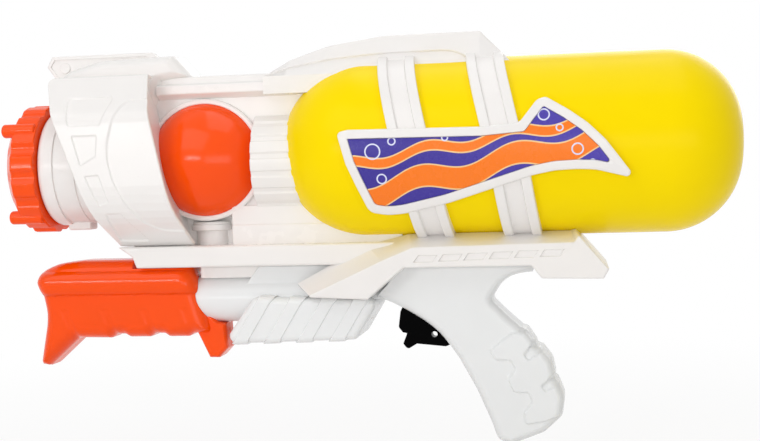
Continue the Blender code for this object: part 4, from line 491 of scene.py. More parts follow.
def slab(bm, corners, side, inner, outer, edge, fall=None, steps=5, both=False):
    """Plate parallel to the parting plane, its outer edge rounded and its seam edge chamfered."""
    fall = edge if fall is None else fall
    levels = [(inner, SEAM_CHAMFER), (inner + SEAM_CHAMFER, 0.0)]
    if both:
        levels = [(inner + back, shrink) for back, shrink in quarter(fall, edge, steps)[::-1]]
    levels += [(outer - back, shrink) for back, shrink in quarter(fall, edge, steps)]
    layered(bm, side, [(depth, inset(corners, shrink)) for depth, shrink in levels])


def prism(bm, corners, side, inner, outer):
    """Plain plate with sharp edges, for cutting."""
    layered(bm, side, [(inner, corners), (outer, corners)])


def line_x(line, z):
    """Place along X of a slanted line at a level."""
    (xa, za), (xb, zb) = line
    return xa + (xb - xa) * (z - za) / (zb - za)


def bar(bm, section, side, front, rear, edge=0.0006, steps=3):
    """Section (depth, z) drawn along X between two end lines, each ((x, z), (x, z)), with rounded ends."""
    ends = [(front, 1, level) for level in quarter(edge, edge, steps)]
    ends += [(rear, -1, level) for level in quarter(edge, edge, steps)[::-1]]
    rings = []
    for line, way, (shrink, back) in ends:
        outline = rounded(inset(section, shrink), steps=ROUND_STEPS)
        rings.append([(line_x(line, z) + way * back, side * d, z) for d, z in outline])
    skin(bm, rings)


def square_end(x):
    return ((x, 0.0), (x, 1.0))


def spun(bm, profile, centre, axis, segments, closed=False, reach=None):
    """Profile (along, radius) turned about an axis. A reach function can change the radius by angle."""
    rings = []
    for along, radius in profile:
        ring = []
        for k in range(segments if radius > 0.0 else 1):
            angle = 2 * math.pi * k / segments
            r = reach(radius, angle) if reach else radius
            u, v = r * math.cos(angle), r * math.sin(angle)
            spot = {"X": (along, u, v), "Y": (u, along, v), "Z": (u, v, along)}[axis]
            ring.append(tuple(c + s for c, s in zip(centre, spot)))
        rings.append(ring)
    skin(bm, rings, closed)


def turned(bm, corners, centre, axis, segments, closed=False, steps=ROUND_STEPS, reach=None):
    """Corners (along, radius, rounding) turned about an axis. A closed profile makes a ring."""
    spun(bm, rounded(corners, closed, steps), centre, axis, segments, closed, reach)


def rod(bm, start, end, radius, centre, axis, segments=32):
    """Plain round bar along an axis, for cutting."""
    spun(bm, [(start, 0.0), (start, radius), (end, radius), (end, 0.0)], centre, axis, segments)


def block(bm, low, high):
    """Plain box between two corners, for cutting."""
    (x0, y0, z0), (x1, y1, z1) = low, high
    skin(bm, [[(x0, y0, z), (x1, y0, z), (x1, y1, z), (x0, y1, z)] for z in (z0, z1)])


def loose(bm, name="tool"):
    """Object made from a bmesh, which is freed."""
    bmesh.ops.recalc_face_normals(bm, faces=bm.faces)
    mesh = bpy.data.meshes.new(name)
    bm.to_mesh(mesh)
    bm.free()
    made = bpy.data.objects.new(name, mesh)
    bpy.context.scene.collection.objects.link(made)
    return made


def carve(bm, *tools, operation="DIFFERENCE"):
    """Boolean other bmeshes into one, and give the result as a bmesh."""
    for tool in tools:
        bmesh.ops.triangulate(tool, faces=tool.faces)
    target = loose(bm, "target")
    cutters = [loose(tool) for tool in tools]
    for cutter in cutters:
        step = target.modifiers.new("cut", "BOOLEAN")
        step.object = cutter
        step.operation = operation
        step.solver = "EXACT"
    view = bpy.context.evaluated_depsgraph_get()
    result = bpy.data.meshes.new_from_object(target.evaluated_get(view))
    made = bmesh.new()
    made.from_mesh(result)
    for item in (target, *cutters):
        bpy.data.objects.remove(item, do_unlink=True)
    bpy.data.meshes.remove(result)
    return made


def merge(bm, other):
    """Move another bmesh's islands into a bmesh."""
    mesh = bpy.data.meshes.new("island")
    other.to_mesh(mesh)
    other.free()
    bm.from_mesh(mesh)
    bpy.data.meshes.remove(mesh)


def new(build, *args, **kwargs):
    """Fresh bmesh holding one island."""
    bm = bmesh.new()
    build(bm, *args, **kwargs)
    return bm


def piece(name, bm, look, body, *nodes, sharp=38):
    """Object from a bmesh, with even shading, that rides on a body and stands for CAD nodes."""
    made = loose(bm, name)
    mesh = made.data
    mesh.materials.append(look)
    mesh.shade_smooth()
    mesh.set_sharp_from_angle(angle=math.radians(sharp))
    even = made.modifiers.new("even_shading", "WEIGHTED_NORMAL")
    even.keep_sharp = True
    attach(made, body)
    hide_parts(*nodes)
    return made


def hand(side):
    return "left" if side == LEFT else "right"


class Look:
    """A material and a short way to add its nodes."""

    def __init__(self, name, slot):
        self.material = bpy.data.materials.new(name)
        self.material.use_nodes = True
        self.material["slot"] = slot
        self.tree = self.material.node_tree
        self.shader = self.tree.nodes["Principled BSDF"]
        self.place = self.tree.nodes.new("ShaderNodeTexCoord").outputs["Object"]

    def give(self, socket, value):
        """Link a socket, or set its value."""
        if isinstance(value, bpy.types.NodeSocket):
            self.tree.links.new(value, socket)
        else:
            socket.default_value = value

    def set(self, name, value):
        self.give(self.shader.inputs[name], value)

    def noise(self, scale, detail=2.0):
        made = self.tree.nodes.new("ShaderNodeTexNoise")
        made.inputs["Scale"].default_value = scale
        made.inputs["Detail"].default_value = detail
        self.give(made.inputs["Vector"], self.place)
        return made.outputs["Fac"]

    def math(self, operation, a, b=0.0):
        made = self.tree.nodes.new("ShaderNodeMath")
        made.operation = operation
        self.give(made.inputs[0], a)
        self.give(made.inputs[1], b)
        return made.outputs[0]

    def spread(self, value, low, high, to_low=0.0, to_high=1.0):
        """Map a range smoothly onto another."""
        made = self.tree.nodes.new("ShaderNodeMapRange")
        made.interpolation_type = "SMOOTHSTEP"
        for name, number in (("From Min", low), ("From Max", high), ("To Min", to_low), ("To Max", to_high)):
            made.inputs[name].default_value = number
        self.give(made.inputs["Value"], value)
        return made.outputs["Result"]

    def mix(self, share, first, second):
        """Blend two colours."""
        made = self.tree.nodes.new("ShaderNodeMix")
        made.data_type = "RGBA"
        for socket, value in zip((made.inputs[0], made.inputs[6], made.inputs[7]), (share, first, second)):
            self.give(socket, value)
        return made.outputs[2]

    def bump(self, height, strength, distance):
        made = self.tree.nodes.new("ShaderNodeBump")
        made.inputs["Strength"].default_value = strength
        made.inputs["Distance"].default_value = distance
        self.give(made.inputs["Height"], height)
        self.set("Normal", made.outputs["Normal"])

    def edges(self):
        """Share of a surface that lies on convex edges."""
        return self.spread(self.tree.nodes.new("ShaderNodeNewGeometry").outputs["Pointiness"], 0.52, 0.60)


def shade(colour, factor):
    return (*(min(1.0, c * factor) for c in colour), 1.0)


def plastic(slot, colour, roughness, gloss, worn):
    """Moulded plastic: a cloudy tone, sparse specks, fine peel, and edges a little paler and rougher."""
    look = Look(f"{slot}_plastic", slot)
    tone = look.mix(look.noise(38.0), shade(colour, 0.975), shade(colour, 1.02))
    specks = look.spread(look.noise(620.0, 1.0), 0.77, 0.80)
    tone = look.mix(look.math("MULTIPLY", specks, 0.15), tone, shade(colour, 0.72))
    rub = look.math("MULTIPLY", look.edges(), look.spread(look.noise(85.0, 4.0), 0.42, 0.66))
    look.set("Base Color", look.mix(look.math("MULTIPLY", rub, 0.4), tone, shade(colour, worn)))
    patches = look.spread(look.noise(30.0), 0.3, 0.7, roughness - 0.015, roughness + 0.02)
    look.set("Roughness", look.math("ADD", patches, look.math("MULTIPLY", rub, 0.08)))
    look.bump(look.noise(1500.0, 2.0), 0.04, 0.0002)
    look.set("Specular IOR Level", gloss)
    return look.material


def rubber():
    look = Look("black_rubber", "rubber")
    look.set("Base Color", look.mix(look.noise(140.0, 4.0), shade(RUBBER_TONE, 0.7), shade(RUBBER_TONE, 1.5)))
    look.set("Roughness", look.spread(look.noise(90.0), 0.3, 0.7, 0.55, 0.75))
    look.bump(look.noise(2400.0), 0.12, 0.0002)
    return look.material


def steel():
    look = Look("plated_steel", "steel")
    look.set("Base Color", look.mix(look.noise(300.0, 4.0), (0.50, 0.50, 0.49, 1.0), (0.68, 0.68, 0.66, 1.0)))
    look.set("Roughness", look.spread(look.noise(700.0, 4.0), 0.3, 0.7, 0.24, 0.42))
    look.set("Metallic", 1.0)
    look.bump(look.noise(3200.0), 0.10, 0.0001)
    return look.material


def clear_hose():
    look = Look("clear_hose", "hose")
    look.set("Base Color", look.mix(look.noise(60.0), (0.66, 0.71, 0.73, 1.0), (0.76, 0.79, 0.80, 1.0)))
    look.set("Roughness", look.spread(look.noise(200.0), 0.3, 0.7, 0.22, 0.36))
    look.set("Subsurface Weight", 0.2)
    look.bump(look.noise(900.0), 0.05, 0.0002)
    return look.material


def label_print():
    """Printed label: violet ground, two orange waves with pale edges, and a rise of round bubbles."""
    look = Look("label_print", "label")
    split = look.tree.nodes.new("ShaderNodeSeparateXYZ")
    look.give(split.inputs[0], look.place)
    x = split.outputs["X"]
    z = look.math("SUBTRACT", split.outputs["Z"], TANK_Z)
    orange, pale, grey = (0.98, 0.20, 0.002, 1.0), (0.92, 0.62, 0.28, 1.0), (0.72, 0.74, 0.92, 1.0)
    ink = look.mix(look.spread(x, -0.08, 0.07), (0.040, 0.024, 0.30, 1.0), (0.070, 0.045, 0.40, 1.0))
    for rise, tilt, height, length, half in LABEL_WAVES:
        swell = look.math("SINE", look.math("MULTIPLY", x, 2 * math.pi / length))
        middle = look.math("ADD", look.math("MULTIPLY", swell, height), look.math("MULTIPLY", x, tilt))
        away = look.math("ABSOLUTE", look.math("SUBTRACT", look.math("SUBTRACT", z, rise), middle))
        ink = look.mix(look.spread(away, half + 0.0009, half + 0.0007), ink, pale)
        ink = look.mix(look.spread(away, half + 0.0001, half - 0.0001), ink, orange)
    for bubble_x, bubble_z, radius in LABEL_BUBBLES:
        dx = look.math("SUBTRACT", x, bubble_x)
        dz = look.math("SUBTRACT", z, bubble_z)
        square = look.math("ADD", look.math("MULTIPLY", dx, dx), look.math("MULTIPLY", dz, dz))
        ring = look.math("ABSOLUTE", look.math("SUBTRACT", look.math("SQRT", square), radius))
        ink = look.mix(look.spread(ring, 0.0005, 0.0003), ink, grey)
    haze = look.math("MULTIPLY", look.noise(900.0), 0.03)
    look.set("Base Color", look.mix(haze, ink, (0.9, 0.9, 0.95, 1.0)))
    look.set("Specular IOR Level", 0.25)
    look.set("Roughness", look.spread(look.noise(120.0, 4.0), 0.3, 0.7, 0.20, 0.34))
    look.bump(look.noise(180.0), 0.05, 0.0006)
    return look.material


def build_tank(look):
    """Tank with a long nose, a round tail and a threaded filler neck."""
    turns = [math.pi / 2 * k / TANK_NOSE_STEPS for k in range(TANK_NOSE_STEPS + 1)]
    nose = [(TANK_NOSE_X + TANK_NOSE_LENGTH * (1 - math.cos(a)), TANK_R * math.sin(a)) for a in turns]
    corner = (TANK_TAIL_X - TANK_TAIL_RADIUS, TANK_R - TANK_TAIL_RADIUS)
    tail = arc(corner, TANK_TAIL_RADIUS, math.pi / 2, 0.0, TANK_TAIL_STEPS)
    first, last = nose[-1][0], tail[0][0]
    shares = [k / TANK_WALL_STEPS for k in range(1, TANK_WALL_STEPS)]
    middle = [(first + (last - first) * share, TANK_R) for share in shares]
    bm = new(spun, nose + middle + tail + [(TANK_TAIL_X, 0.0)], (0, 0, TANK_Z), "X", 144)
    filler = (FILLER_X, 0, TANK_Z)
    end = TANK_R + FILLER_NECK_LENGTH
    root = 0.9 * TANK_R
    bm = carve(bm, new(rod, 0.5 * TANK_R, end, FILLER_BORE_R, filler, "Y", 64))
    turned(bm, [(root, FILLER_NECK_R), (end, FILLER_NECK_R, 0.0008), (end, FILLER_BORE_R, 0.0008),
                (root, FILLER_BORE_R)], filler, "Y", 64, closed=True)
    for level in FILLER_THREADS:
        core = (TANK_R + level * FILLER_NECK_LENGTH, FILLER_NECK_R - FILLER_THREAD_SUNK)
        ridge = arc(core, FILLER_THREAD_R, 0.0, 2 * math.pi, 12)[:-1]
        spun(bm, ridge, filler, "Y", 64, closed=True)
    piece("tank_shell", bm, look, "body", "water_tank", sharp=30)


def build_cap(look):
    """Filler cap with a ribbed rim and a raised ring."""
    low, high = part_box("filler_cap")
    hem, top = low.y, high.y
    roof = top - CAP_ROOF
    inside = FILLER_NECK_R + CAP_PLAY
    outside = inside + CAP_WALL
    centre = (FILLER_X, 0, TANK_Z)

    def ribbed(radius, angle):
        grip = CAP_RIB_HEIGHT * (0.5 + 0.5 * math.tanh(3.0 * math.cos(CAP_RIBS * angle)))
        return radius + grip * (1.0 if radius > outside - 0.0002 else 0.0)

    bm = new(turned, [(roof, 0.0), (roof, inside, 0.001), (hem, inside, 0.0004), (hem, outside, 0.0005),
                      (top, outside, 0.0016), (top, 0.0)], centre, "Y", 12 * CAP_RIBS, reach=ribbed)
    foot, crest = top - 0.0002, top + 0.0004
    inner, outer = CAP_RING
    ring = [(foot, inner), (crest, inner + 0.0002), (crest, outer - 0.0002), (foot, outer)]
    spun(bm, ring, centre, "Y", 64, closed=True)
    piece("cap_shell", bm, look, "cap", "filler_cap")


def build_ball(orange, white):
    """Pressure sphere and the flanged neck under it."""
    angles = [math.pi * (k / BALL_STEPS - 0.5) for k in range(1, BALL_STEPS)]
    profile = [(BALL_R * math.sin(a), BALL_R * math.cos(a)) for a in angles]
    ball = new(spun, [(-BALL_R, 0.0), *profile, (BALL_R, 0.0)], (BALL_X, 0, BALL_Z), "Z", 128)
    piece("ball_shell", ball, orange, "body", "pressure_ball")
    top = BALL_Z - BALL_R - FIT
    low = top - BALL_FLANGE_HEIGHT
    brim = low + BALL_BRIM_HEIGHT
    seat_r = BALL_FLANGE_R - 0.0008
    neck = [(BURIED_Z, 0.0), (BURIED_Z, BALL_NECK_R), (low, BALL_NECK_R, 0.0006),
            (low, BALL_FLANGE_R, 0.0007), (brim, BALL_FLANGE_R, 0.0005), (brim, seat_r, 0.0004),
            (top, seat_r, 0.0006), (top, 0.0)]
    piece("ball_neck_shell", new(turned, neck, (BALL_X, 0, 0), "Z", 96), white, "body", "ball_neck")


def on_dial(radius, angle):
    """Point on a circle about the dial's axis, with angles counted up from the left side."""
    return (0.0, -radius * math.cos(angle), BORE_Z + radius * math.sin(angle))


def build_dial(look):
    """Dial with scalloped rim, four finger nubs, and a boss with its bore for each spray."""
    turn = 2 * math.pi / DIAL_NUBS
    far = DIAL_R + DIAL_SCALLOP_R - DIAL_TOOTH_DEPTH
    leans = (-DIAL_SCALLOP_LEAN, 0.0, DIAL_SCALLOP_LEAN)
    hollows = [DIAL_NUB_ANGLE + (k + 0.5) * turn + lean for k in range(DIAL_NUBS) for lean in leans]

    def scalloped(radius, angle):
        """Least of a radius and the scallops' inner sides, with a soft edge between them."""
        nearest = min(((math.pi - angle - h + math.pi) % (2 * math.pi) - math.pi for h in hollows), key=abs)
        side = far * math.sin(nearest)
        if radius < DIAL_FACE_R - 0.002 or abs(side) >= DIAL_SCALLOP_R:
            return radius
        hollow = far * math.cos(nearest) - math.sqrt(DIAL_SCALLOP_R ** 2 - side ** 2)
        blend = max(0.0, 1.0 - abs(radius - hollow) / DIAL_SOFT)
        return min(radius, hollow) - DIAL_SOFT * blend ** 2 / 4

    centre = (0, 0, BORE_Z)
    web = DIAL_FRONT_X + DIAL_WEB
    bm = new(turned, [(DIAL_FRONT_X, 0.0), (DIAL_FRONT_X, DIAL_FACE_R, 0.0010),
                      (DIAL_FRONT_X + DIAL_CONE, DIAL_R, 0.0014), (DIAL_BACK_X, DIAL_R, 0.0009),
                      (DIAL_BACK_X, DIAL_INNER_R, 0.0006), (web, DIAL_INNER_R), (web, 0.0)],
             centre, "X", 540, steps=5, reach=scalloped)
    ahead = DIAL_FRONT_X - 0.004
    tools = [new(rod, ahead, DIAL_FRONT_X + DIAL_SINK, SCREW_HEAD_R + FIT, centre, "X")]
    spots = [on_dial(NOZZLE_CIRCLE_R, k * turn - math.pi / 2) for k in range(DIAL_NUBS)]
    for bore, spot in zip(NOZZLE_BORES, spots):
        tools.append(new(rod, ahead, web - 0.001, bore, spot, "X", 24))
    bm = carve(bm, *tools)
    root, front = DIAL_FRONT_X + 0.0005, DIAL_FRONT_X - NOZZLE_BOSS_HEIGHT
    tip, tail = DIAL_FRONT_X - DIAL_NUB_REACH, DIAL_BACK_X - 0.001
    for k, (bore, spot) in enumerate(zip(NOZZLE_BORES, spots)):
        turned(bm, [(root, NOZZLE_BOSS_R), (front, NOZZLE_BOSS_R - 0.0003, 0.0006), (front, bore, 0.0003),
                    (root, bore)], spot, "X", 40, closed=True)
        turned(bm, [(tip, 0.0), (tip, DIAL_NUB_R, 0.0034), (tail, DIAL_NUB_R, 0.0010), (tail, 0.0)],
               on_dial(DIAL_R - 0.5 * DIAL_NUB_R, DIAL_NUB_ANGLE + k * turn), "X", 40, steps=7)
    piece("dial_shell", bm, look, "dial", "nozzle_dial", sharp=32)


def build_collar(look):
    """Stepped ring behind the dial, with a lug under it."""
    front = DIAL_BACK_X + FIT
    band = COLLAR_R - COLLAR_STEP
    tail = band - 0.0007
    groove = COLLAR_STEP_X + COLLAR_BAND
    bm = new(turned, [(front, COLLAR_BORE_R), (front, COLLAR_R, COLLAR_ROUND),
                      (COLLAR_STEP_X, COLLAR_R, 0.0005), (COLLAR_STEP_X, band, 0.0003),
                      (groove, band, 0.0004), (groove + 0.0004, tail, 0.0003), (COLLAR_REAR_X, tail),
                      (COLLAR_REAR_X, COLLAR_BORE_R)], (0, 0, BORE_Z), "X", 160, closed=True, steps=6)
    low = BORE_Z - COLLAR_R - LUG_DROP
    lug = rect(LUG_FRONT_X, low, LUG_REAR_X, low + 0.008, 0.0015)
    slab(bm, lug, RIGHT, -LUG_HALF_WIDTH, LUG_HALF_WIDTH, 0.0014, both=True)
    piece("collar_shell", bm, look, "body", "nozzle_collar")


def build_dial_screw(look):
    """Cross-head screw that the dial turns on."""
    head = DIAL_FRONT_X + 0.0015
    under = head + SCREW_HEAD_LENGTH
    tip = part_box("dial_screw")[1].x
    bm = new(turned, [(head, 0.0), (head, SCREW_HEAD_R, 0.0008), (under, SCREW_HEAD_R, 0.0002),
                      (under, SCREW_R), (tip, SCREW_R), (tip, 0.0)], (0, 0, BORE_Z), "X", 40, steps=5)
    arm, half = SCREW_CROSS
    tools = []
    for y, z in ((arm, half), (half, arm)):
        tools.append(new(block, (head - 0.001, -y, BORE_Z - z), (head + 0.0011, y, BORE_Z + z)))
    piece("dial_screw_head", carve(bm, *tools), look, "body", "dial_screw")


def shroud_path(moved_in):
    """Outer side of the shroud as (depth, z), from its top edge to its bottom edge."""
    wide, top = SHROUD_HALF_WIDTH, BORE_Z + SHROUD_TOP_RISE
    lip, shoulder, foot = (share * wide for share in SHROUD_SHARES)
    path = rounded([(lip, top), (shoulder, top, 0.003), (wide, BORE_Z + SHROUD_SIDE_TOP, 0.014),
                    (wide, BORE_Z + SHROUD_SIDE_LOW, 0.028), (foot, RAIL_TOP_Z + FIT)], closed=False)
    return offset(path, moved_in, closed=False) if moved_in else path


def rows(length, edge, spacing):
    """Places along a length, close together at both ends."""
    fine = [edge * f for f in (0.0, 0.06, 0.2, 0.42, 0.7, 1.0)]
    count = max(1, round((length - 2 * edge) / spacing))
    middle = [edge + (length - 2 * edge) * k / count for k in range(1, count)]
    return fine + middle + [length - f for f in fine[::-1]]


def along(points, places):
    """Points at given distances along a line."""
    spots = np.array(points)
    run = np.concatenate([[0.0], np.cumsum(np.linalg.norm(np.diff(spots, axis=0), axis=1))])
    return [(np.interp(p, run, spots[:, 0]), np.interp(p, run, spots[:, 1])) for p in places]


def line_length(points):
    return sum((Vector(b) - Vector(a)).length for a, b in zip(points, points[1:]))


def nearest(spots, line):
    """Distance of spots to an open line."""
    here = np.array(spots)
    least = np.full(len(here), 1e9)
    for a, b in zip(line, line[1:]):
        a, run = np.array(a), np.array(b) - np.array(a)
        t = np.clip(((here - a) @ run) / (run @ run), 0.0, 1.0)
        least = np.minimum(least, np.linalg.norm(here - a - t[:, None] * run, axis=1))
    return least


def depth_inside(spots, outline):
    """Distance of spots to an outline's nearest edge, negative outside it."""
    here = np.array(spots)
    loop = outline + outline[:1]
    inside = np.zeros(len(here), bool)
    for (ax, az), (bx, bz) in zip(loop, loop[1:]):
        crosses = (az > here[:, 1]) != (bz > here[:, 1])
        rise = bz - az if abs(bz - az) > 1e-12 else 1e-12
        inside ^= crosses & (here[:, 0] < ax + (here[:, 1] - az) * (bx - ax) / rise)
    return np.where(inside, 1.0, -1.0) * nearest(spots, loop)


def pressed(spots, outline, width):
    """Share from 0 at an outline to 1 at a width inside it."""
    share = np.clip(depth_inside(spots, outline) / width, 0.0, 1.0)
    return share * share * (3 - 2 * share)


def build_shroud(side, look):
    """Slanted cover with pressed-in panels."""
    raw = shroud_path(0.0)
    length = line_length(raw)
    places = rows(length, SHROUD_EDGE, SHROUD_GRID)
    path = along(raw, places)
    inward = [Vector(b) - Vector(a) for a, b in zip(path, offset(path, 1.0, closed=False))]
    shares = [place / SHROUD_SPAN for place in rows(SHROUD_SPAN, SHROUD_EDGE, SHROUD_GRID)]
    grid = []
    for d, z in path:
        over = min(1.0, max(0.0, (z - SHROUD_FRONT[0][1]) / SHROUD_CORNER + 1.0))
        front = line_x(SHROUD_FRONT, z) + SHROUD_CORNER * (1 - math.sqrt(1 - over ** 2))
        rear = line_x(SHROUD_REAR, z)
        grid.append([front + (rear - front) * share for share in shares])
    spots = [(x, z - BORE_Z) for row, (d, z) in zip(grid, path) for x in row]
    drop = np.zeros(len(spots))
    for outline in SHROUD_WINDOWS:
        drop += SHROUD_RELIEF * pressed(spots, rounded(outline), SHROUD_RELIEF_WIDTH)
    drop = drop.reshape(len(grid), -1)
    rings = []
    for i, ((d, z), row) in enumerate(zip(path, grid)):
        ring = []
        for j, x in enumerate(row):
            margin = min(x - row[0], row[-1] - x, places[i], length - places[i])
            lack = max(0.0, SHROUD_EDGE - margin)
            sink = drop[i][j] + SHROUD_EDGE - math.sqrt(max(0.0, SHROUD_EDGE ** 2 - lack ** 2))
            ring.append((x, side * (d + inward[i].x * sink), z + inward[i].y * sink))
        deep = (side * (d + inward[i].x * SHROUD_WALL), z + inward[i].y * SHROUD_WALL)
        rings.append(ring + [(row[-1], *deep), (row[0], *deep)])
    piece(f"shroud_{hand(side)}_cover", new(skin, rings), look, "body", f"shroud_{hand(side)}")


def wells(spots):
    """Tools for the deep screw wells on the right."""
    return [new(rod, SCREW_SEAT, WELL_END, WELL_R, (x, 0, z), "Y") for x, z in spots]


class Half:
    """One half of a moulding: islands of mesh, with the screw wells cut out of the right half."""

    def __init__(self, side, spots):
        self.bm = bmesh.new()
        self.side = side
        self.spots = spots

    def add(self, build, *args, **kwargs):
        self.put(new(build, *args, **kwargs))

    def put(self, island):
        if self.side == RIGHT:
            xs, zs = [v.co.x for v in island.verts], [v.co.z for v in island.verts]
            near = [(x, z) for x, z in self.spots
                    if min(xs) - WELL_R < x < max(xs) + WELL_R and min(zs) - WELL_R < z < max(zs) + WELL_R]
            if near:
                island = carve(island, *wells(near))
        merge(self.bm, island)


def moved_line(line, dx):
    return tuple((x + dx, z) for x, z in line)


def build_housing(side, look):
    """Half of the upper moulding, as overlapping islands with rounded edges."""
    half = Half(side, HOUSING_SCREWS)
    add_drum(half)
    add_fin(half)
    add_sphere_seat(half)
    add_rail(half)
    add_skirt(half)
    add_beam(half)
    add_cradle(half)
    piece(f"housing_{hand(side)}_shell", half.bm, look, "body", f"housing_{hand(side)}")


def add_drum(half):
    """Front drum inside the shroud, and the hood on it."""
    path = shroud_path(SHROUD_WALL + FIT)
    foot = path[-1][0] - 0.002
    drum = path + [(foot, path[-1][1]), (foot, BURIED_Z), (SEAM, BURIED_Z), (SEAM, path[0][1])]
    front = moved_line(SHROUD_FRONT, DRUM_FRONT_INSET)
    rear = moved_line(SHROUD_REAR, -DRUM_REAR_INSET)
    half.add(bar, drum, half.side, front, rear, 0.0008)
    half.add(slab, lifted(HOOD, BORE_Z), half.side, SEAM, HOOD_HALF_WIDTH, HOOD_EDGE, HOOD_FALL, 9)


def add_sphere_seat(half):
    """Top rail, webs and lips round the sphere, the fluted neck behind it and the saddle under that."""
    side = half.side
    wide, top = TOP_RAIL_HALF_WIDTH, TOP_RAIL_Z
    narrow = wide - TOP_RAIL_STEP
    core, base = WEB_HALF_WIDTH - 0.002, BORE_Z + TOP_RAIL_BASE
    rail = [(SEAM, base), (core, base), (core, base + 0.0025, 0.001), (wide, top - 0.0107, 0.0012),
            (wide, top - 0.0055, 0.0010), (narrow, top - 0.0042, 0.0008), (narrow, top, 0.0012), (SEAM, top)]
    half.add(bar, rail, side, square_end(TOP_RAIL_FRONT_X), square_end(TOP_RAIL_REAR_X))
    floor = BALL_Z - WEB_FLOOR_SHARE * BALL_R
    web = rect(WEB_FRONT_X, floor, WEB_REAR_X, top - 0.006)
    half.add(slab, web, side, SEAM, WEB_HALF_WIDTH, 0.0008)
    thin_web = rect(THIN_WEB_FRONT_X, BURIED_Z, WEB_REAR_X, floor + 0.003)
    half.add(slab, thin_web, side, SEAM, THIN_WEB_HALF_WIDTH, 0.0008)
    inner = math.sqrt(BALL_R ** 2 - LIP_DEPTH ** 2) + FIT
    outer = inner + LIP_WIDTH
    root, face = side * LIP_ROOT, side * LIP_DEPTH
    half.add(turned, [(root, outer), (face, outer, 0.0012), (face, inner, 0.0008), (root, inner)],
             (BALL_X, 0, BALL_Z), "Y", 144, closed=True, steps=5)
    half.add(bar, neck_section(), side, square_end(NECK_FRONT_X), square_end(NECK_REAR_X), 0.0007)
    saddle = rect(LEDGE_FRONT_X, SADDLE_Z, NECK_REAR_X, SADDLE_Z + SADDLE_HEIGHT)
    half.add(slab, saddle, side, SEAM, SADDLE_HALF_WIDTH, 0.0006)


def add_rail(half):
    """Keel rail, the keel that reaches down to the pump tube, and the ledge on the rail."""
    side = half.side
    half.add(slab, RAIL, side, SEAM, RAIL_HALF_WIDTH, 0.0018, steps=6)
    keel = rect(KEEL_FRONT_X, PUMP_Z + KEEL_RISE, KEEL_REAR_X, BURIED_Z, 0.001)
    half.add(slab, keel, side, SEAM, KEEL_HALF_WIDTH, 0.0008)
    wide = LEDGE_HALF_WIDTH
    ledge = [(SEAM, BURIED_Z), (wide, BURIED_Z), (wide, SADDLE_Z, 0.0015),
             (wide - 0.002, LEDGE_TOP_Z, 0.0015), (SEAM, LEDGE_TOP_Z)]
    half.add(bar, ledge, side, square_end(LEDGE_FRONT_X), square_end(LEDGE_REAR_X), 0.0008)


def add_fin(half):
    """Fin on the hood, with a sunk panel and a round boss on each side."""
    side = half.side
    fin = new(slab, lifted(FIN, BORE_Z), side, SEAM, FIN_HALF_WIDTH, 0.0007)
    floor = FIN_HALF_WIDTH - FIN_PANEL_DEPTH
    half.put(carve(fin, new(prism, lifted(FIN_PANEL, BORE_Z), side, floor, FIN_HALF_WIDTH + 0.004)))
    root, face = side * 0.9 * floor, side * FIN_HALF_WIDTH
    half.add(turned, [(root, 0.0), (root, FIN_BOSS_R), (face, FIN_BOSS_R, 0.0004), (face, 0.0)],
             (FIN_BOSS[0], 0, BORE_Z + FIN_BOSS[1]), "Y", 48)


def neck_section():
    """Fluted half round of the tank neck as (depth, z)."""
    points = [(SEAM, BORE_Z - NECK_R)]
    pitch = math.pi / NECK_FLUTES
    edges = (NECK_RIDGE[0], NECK_RIDGE[-1], NECK_VALLEY[0], NECK_VALLEY[-1])
    for k in range(NECK_FLUTES):
        for share in NECK_RIDGE + NECK_VALLEY:
            radius = NECK_R - (NECK_FLUTE_DEPTH if share in NECK_VALLEY else 0.0)
            angle = (k + share) * pitch - math.pi / 2
            soft = 0.0005 if share in edges else 0.0
            points.append((radius * math.cos(angle), BORE_Z + radius * math.sin(angle), soft))
    points.append((SEAM, BORE_Z + NECK_R))
    return points


def add_skirt(half):
    """Lower beam: a crown that slopes down to its flat outer faces, with a row of slanted recesses."""
    side = half.side
    crown = [SKIRT_CROWN.get(i, point) for i, point in enumerate(SKIRT)]
    levels = [(SEAM, crown), (SKIRT_CROWN_HALF_WIDTH, crown)]
    for back, shrink in quarter(SKIRT_EDGE, SKIRT_EDGE, 5):
        levels.append((SKIRT_HALF_WIDTH - back, inset(SKIRT, shrink)))
    tools = []
    x, z = SKIRT_SLOT_START
    wide, high, lean = SKIRT_SLOT_WIDTH, SKIRT_SLOT_HEIGHT, SKIRT_SLOT_LEAN
    for _ in range(SKIRT_SLOTS):
        corners = [(x, z), (x + wide, z), (x + wide + lean, z + high), (x + lean, z + high)]
        tools.append(new(slot_tool, corners, side))
        x += SKIRT_SLOT_PITCH
        z += SKIRT_SLOT_RISE
    half.put(carve(new(layered, side, levels, ROUND_STEPS), *tools))


def slot_tool(bm, corners, side):
    """Recess with sloping walls."""
    floor, outside = SKIRT_HALF_WIDTH - SKIRT_SLOT_DEPTH, SKIRT_HALF_WIDTH + 0.002
    levels = ((floor, 0.0003), (SKIRT_HALF_WIDTH, 0.0), (outside, -0.0008))
    layered(bm, side, [(depth, inset(corners, shrink)) for depth, shrink in levels], ROUND_STEPS)


